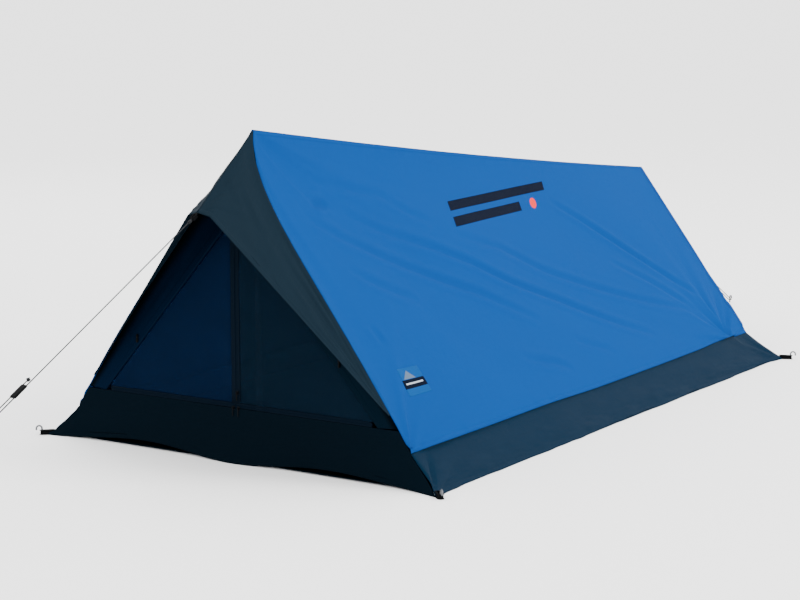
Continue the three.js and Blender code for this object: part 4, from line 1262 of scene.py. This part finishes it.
toggle = {"radius": 0.0035, "half": 0.0125, "waist": 0.0012, "height": 0.310, "aside": 0.022, "ahead": 0.0042}
for label, side in halves:
    # a barrel toggle with a waist for its loop
    z = np.linspace(-1, 1, 33)
    barrel = toggle["radius"] * np.sqrt(np.maximum(1 - np.abs(z) ** 5, 0.004))
    r = barrel - toggle["waist"] * np.exp(-((z / 0.16) ** 2))
    half = toggle["half"]
    profile = [(0.0001, -half)] + list(zip(r, z * half)) + [(0.0001, half)]
    across = float(doorEdge(toggle["height"])) + toggle["aside"]
    place = (side * across, wallY - toggle["ahead"], toggle["height"])
    dress(lathe(f"doorToggle{label}", profile, place, 0.0, 28), blackPlastic, "tent",
          [f"door_toggle_{label.lower()}"])

for label, (at, along, _, _) in cordEnds.items():
    # a flat bar with two holes for the line, its corners rounded off
    runnerUp = guy[f"{label}Runner"]
    half = 0.023
    end, high = guy["strand"] / 2, 0.0035
    arc = np.linspace(-math.pi / 2, math.pi / 2, 13)
    right = np.stack([end + high * np.cos(arc), high * np.sin(arc)], axis=1)
    d = np.array([-half, -half + 0.0003, -half + 0.0012, half - 0.0012, half - 0.0003, half])
    scale = [0.90, 0.96, 1, 1, 0.96, 0.90]
    spine = [at(runnerUp + k, guy["strand"] / 2) for k in d]
    bar = sweep(f"{label}Runner", spine, np.vstack([right, -right]), up=np.cross(along, (1, 0, 0)), keepUp=True,
                scale=scale)
    for offset in (0, guy["strand"]):
        drill = sweep("drill", [at(runnerUp + k, offset) for k in (-0.03, 0.0, 0.03)], circle(0.002, 20))
        cut = bar.modifiers.new("hole", "BOOLEAN")
        cut.operation, cut.object, cut.solver = "DIFFERENCE", drill, "EXACT"
        bpy.context.view_layer.objects.active = bar
        bpy.ops.object.modifier_apply(modifier="hole")
        bpy.data.objects.remove(drill)
    dress(bar, blackPlastic, f"runner_{label}", [f"{label}_runner"])

peg = {"radius": 0.0025, "deep": 0.160, "top": 0.018, "hook": 0.008}
loop = {"long": 0.044, "wide": 0.016, "band": 0.002, "high": 0.012}
guyLoop = {"long": guy["loop"], "wide": 0.010, "band": 0.0016, "high": 0.009}


def turnedBy(points, angle, place):
    c, s = math.cos(angle), math.sin(angle)
    out = np.array(points, float)
    out[..., 0], out[..., 1] = points[..., 0] * c - points[..., 1] * s, points[..., 0] * s + points[..., 1] * c
    return out + place


def wirePeg(name, angle, place, node):
    # a straight wire with a blunt point and a hooked top
    r = peg["hook"]
    bend = np.linspace(math.pi, 0, 19)
    hook = np.stack([r * (1 + np.cos(bend)), 0 * bend, peg["top"] + r * np.sin(bend)], axis=1)
    shaft = np.array([[0, 0, z] for z in (-peg["deep"], -peg["deep"] + 0.004, -peg["deep"] + 0.010, -0.08, 0)])
    path = np.vstack([shaft, hook, [[2 * r, 0, peg["top"] - 0.0045], [2 * r, 0, peg["top"] - 0.005]]])
    size = np.ones(len(path))
    size[:2] = 0.25, 0.65
    size[-1] = 0.8
    wire = sweep(name, turnedBy(path, angle, place), circle(peg["radius"], 14), up=(0, 1, 0), scale=size)
    return dress(wire, pegSteel, "tent", [node])


def webbingBand(name, size, angle, place, node, tilt=0.0, middle=False):
    # a band of webbing on edge, round a slot with round ends
    long, wide, band, high = (size[key] for key in ("long", "wide", "band", "high"))
    r = wide / 2 - band / 2
    a = np.linspace(-math.pi / 2, math.pi / 2, 13)
    far = np.stack([long - wide / 2 + r * np.cos(a), r * np.sin(a)], axis=1)
    near = np.stack([wide / 2 - r * np.cos(a), -r * np.sin(a)], axis=1)
    ring = smoothPath(np.vstack([far, near]), 2)[:-1]
    path = np.column_stack([ring, np.zeros(len(ring))])
    if not middle:
        path[:, 2] = high / 2 + T["groundGap"]
    k, m = math.cos(tilt), math.sin(tilt)
    path = np.column_stack([path[:, 0] * k + path[:, 2] * m, path[:, 1], -path[:, 0] * m + path[:, 2] * k])
    up = turnedBy(np.array([[m, 0, k]]), angle, (0, 0, 0))[0]
    outline = ribbonOutline(band * 0.92, high)
    piece = sweep(name, turnedBy(path, angle, place), outline, up=up, closed=True, keepUp=True)
    return dress(piece, webbing, "tent", [node])


for label, side in (("right", 1), ("left", -1)):
    for end, y, degrees in (("front", T["frontY"], -45), ("rear", T["rearY"], 20)):
        angle = math.radians(degrees if side > 0 else 180 - degrees)
        place = np.array([side * (T["halfWidth"] + 0.001), y + math.copysign(0.001, degrees), 0])
        webbingBand(f"{end}{label.title()}Loop", loop, angle, place, f"corner_loop_{end}_{label}")
        reach = loop["long"] - loop["band"] - peg["radius"] - 0.001
        spot = place + np.array([math.cos(angle), math.sin(angle), 0]) * reach
        wirePeg(f"{end}{label.title()}Peg", angle, spot, f"corner_peg_{end}_{label}")
for label, node in (("front", "hood_guy_loop"), ("rear", "vent_guy_loop")):
    _, _, pegPlace, heading = cordEnds[label]
    angle = -heading * math.pi / 2
    webbingBand(f"{label}GuyLoop", guyLoop, angle, guyStart[label], node, tilt=guyDrop, middle=True)
    wirePeg(f"{label}GuyPeg", angle, (-heading * guy["strand"] / 2, pegPlace[1], 0), f"{label}_guy_peg")

# a woven patch near the front corner: a pale field with a dark band and plain stripes
patch = {"u": (0.06, 0.108), "h": (0.15, 0.235), "steps": 30, "thick": 0.0006}
points, _ = roofSurface(1, np.linspace(*patch["u"], patch["steps"]), np.linspace(*patch["h"], patch["steps"]))
vv, ww = np.meshgrid(np.linspace(0, 1, patch["steps"]), np.linspace(0, 1, patch["steps"]))
edge = smooth(np.minimum.reduce([vv, 1 - vv, ww, 1 - ww]) / 0.04)
points = points + roofOut * (patch["thick"] * (1 + edge))[..., None]


def patchFinish():
    f = Finish("labelWeave", roughness=0.85, specular=0.03)
    x, y, _ = f.parts(f.uv())
    weave = (x * 2500).sine() * (y * 2500).sine()
    band = (y > 0.26) * (y < 0.58)
    peak = (y > 0.60) * ((y - 0.60) < (0.30 - (x - 0.4).size() * 1.1))
    stripe = (y > 0.40) * (y < 0.46) * (x > 0.12) * (x < 0.88)
    field = f.blend(weave * 0.5 + 0.5, (0.002, 0.038, 0.15), (0.006, 0.048, 0.17))
    field = f.blend(peak, field, (0.07, 0.10, 0.15))
    field = f.blend(band, field, (0.001, 0.003, 0.01))
    f.feed("Base Color", f.blend(stripe, field, (0.30, 0.34, 0.40)))
    f.feed("Normal", f.bump(weave, 0.0002, 0.5))
    return f.material


patchCloth = patchFinish()
label = clothPiece("cornerLabel", points, patch["thick"], roofOut, np.stack([vv, ww], axis=-1))
dress(label, patchCloth, "tent", ["label_patch"])
print("small parts made")

# ---- floor under it all ----

paleFloor = Finish("paleFloor", roughness=0.9, colour=(0.9, 0.9, 0.9), specular=0.1)
far = 200  # metres to each edge
floor = addMesh("studioFloor", [(-far, -far, 0), (far, -far, 0), (far, far, 0), (-far, far, 0)], [[0, 1, 2, 3]])
floor.data.materials.append(paleFloor.material)
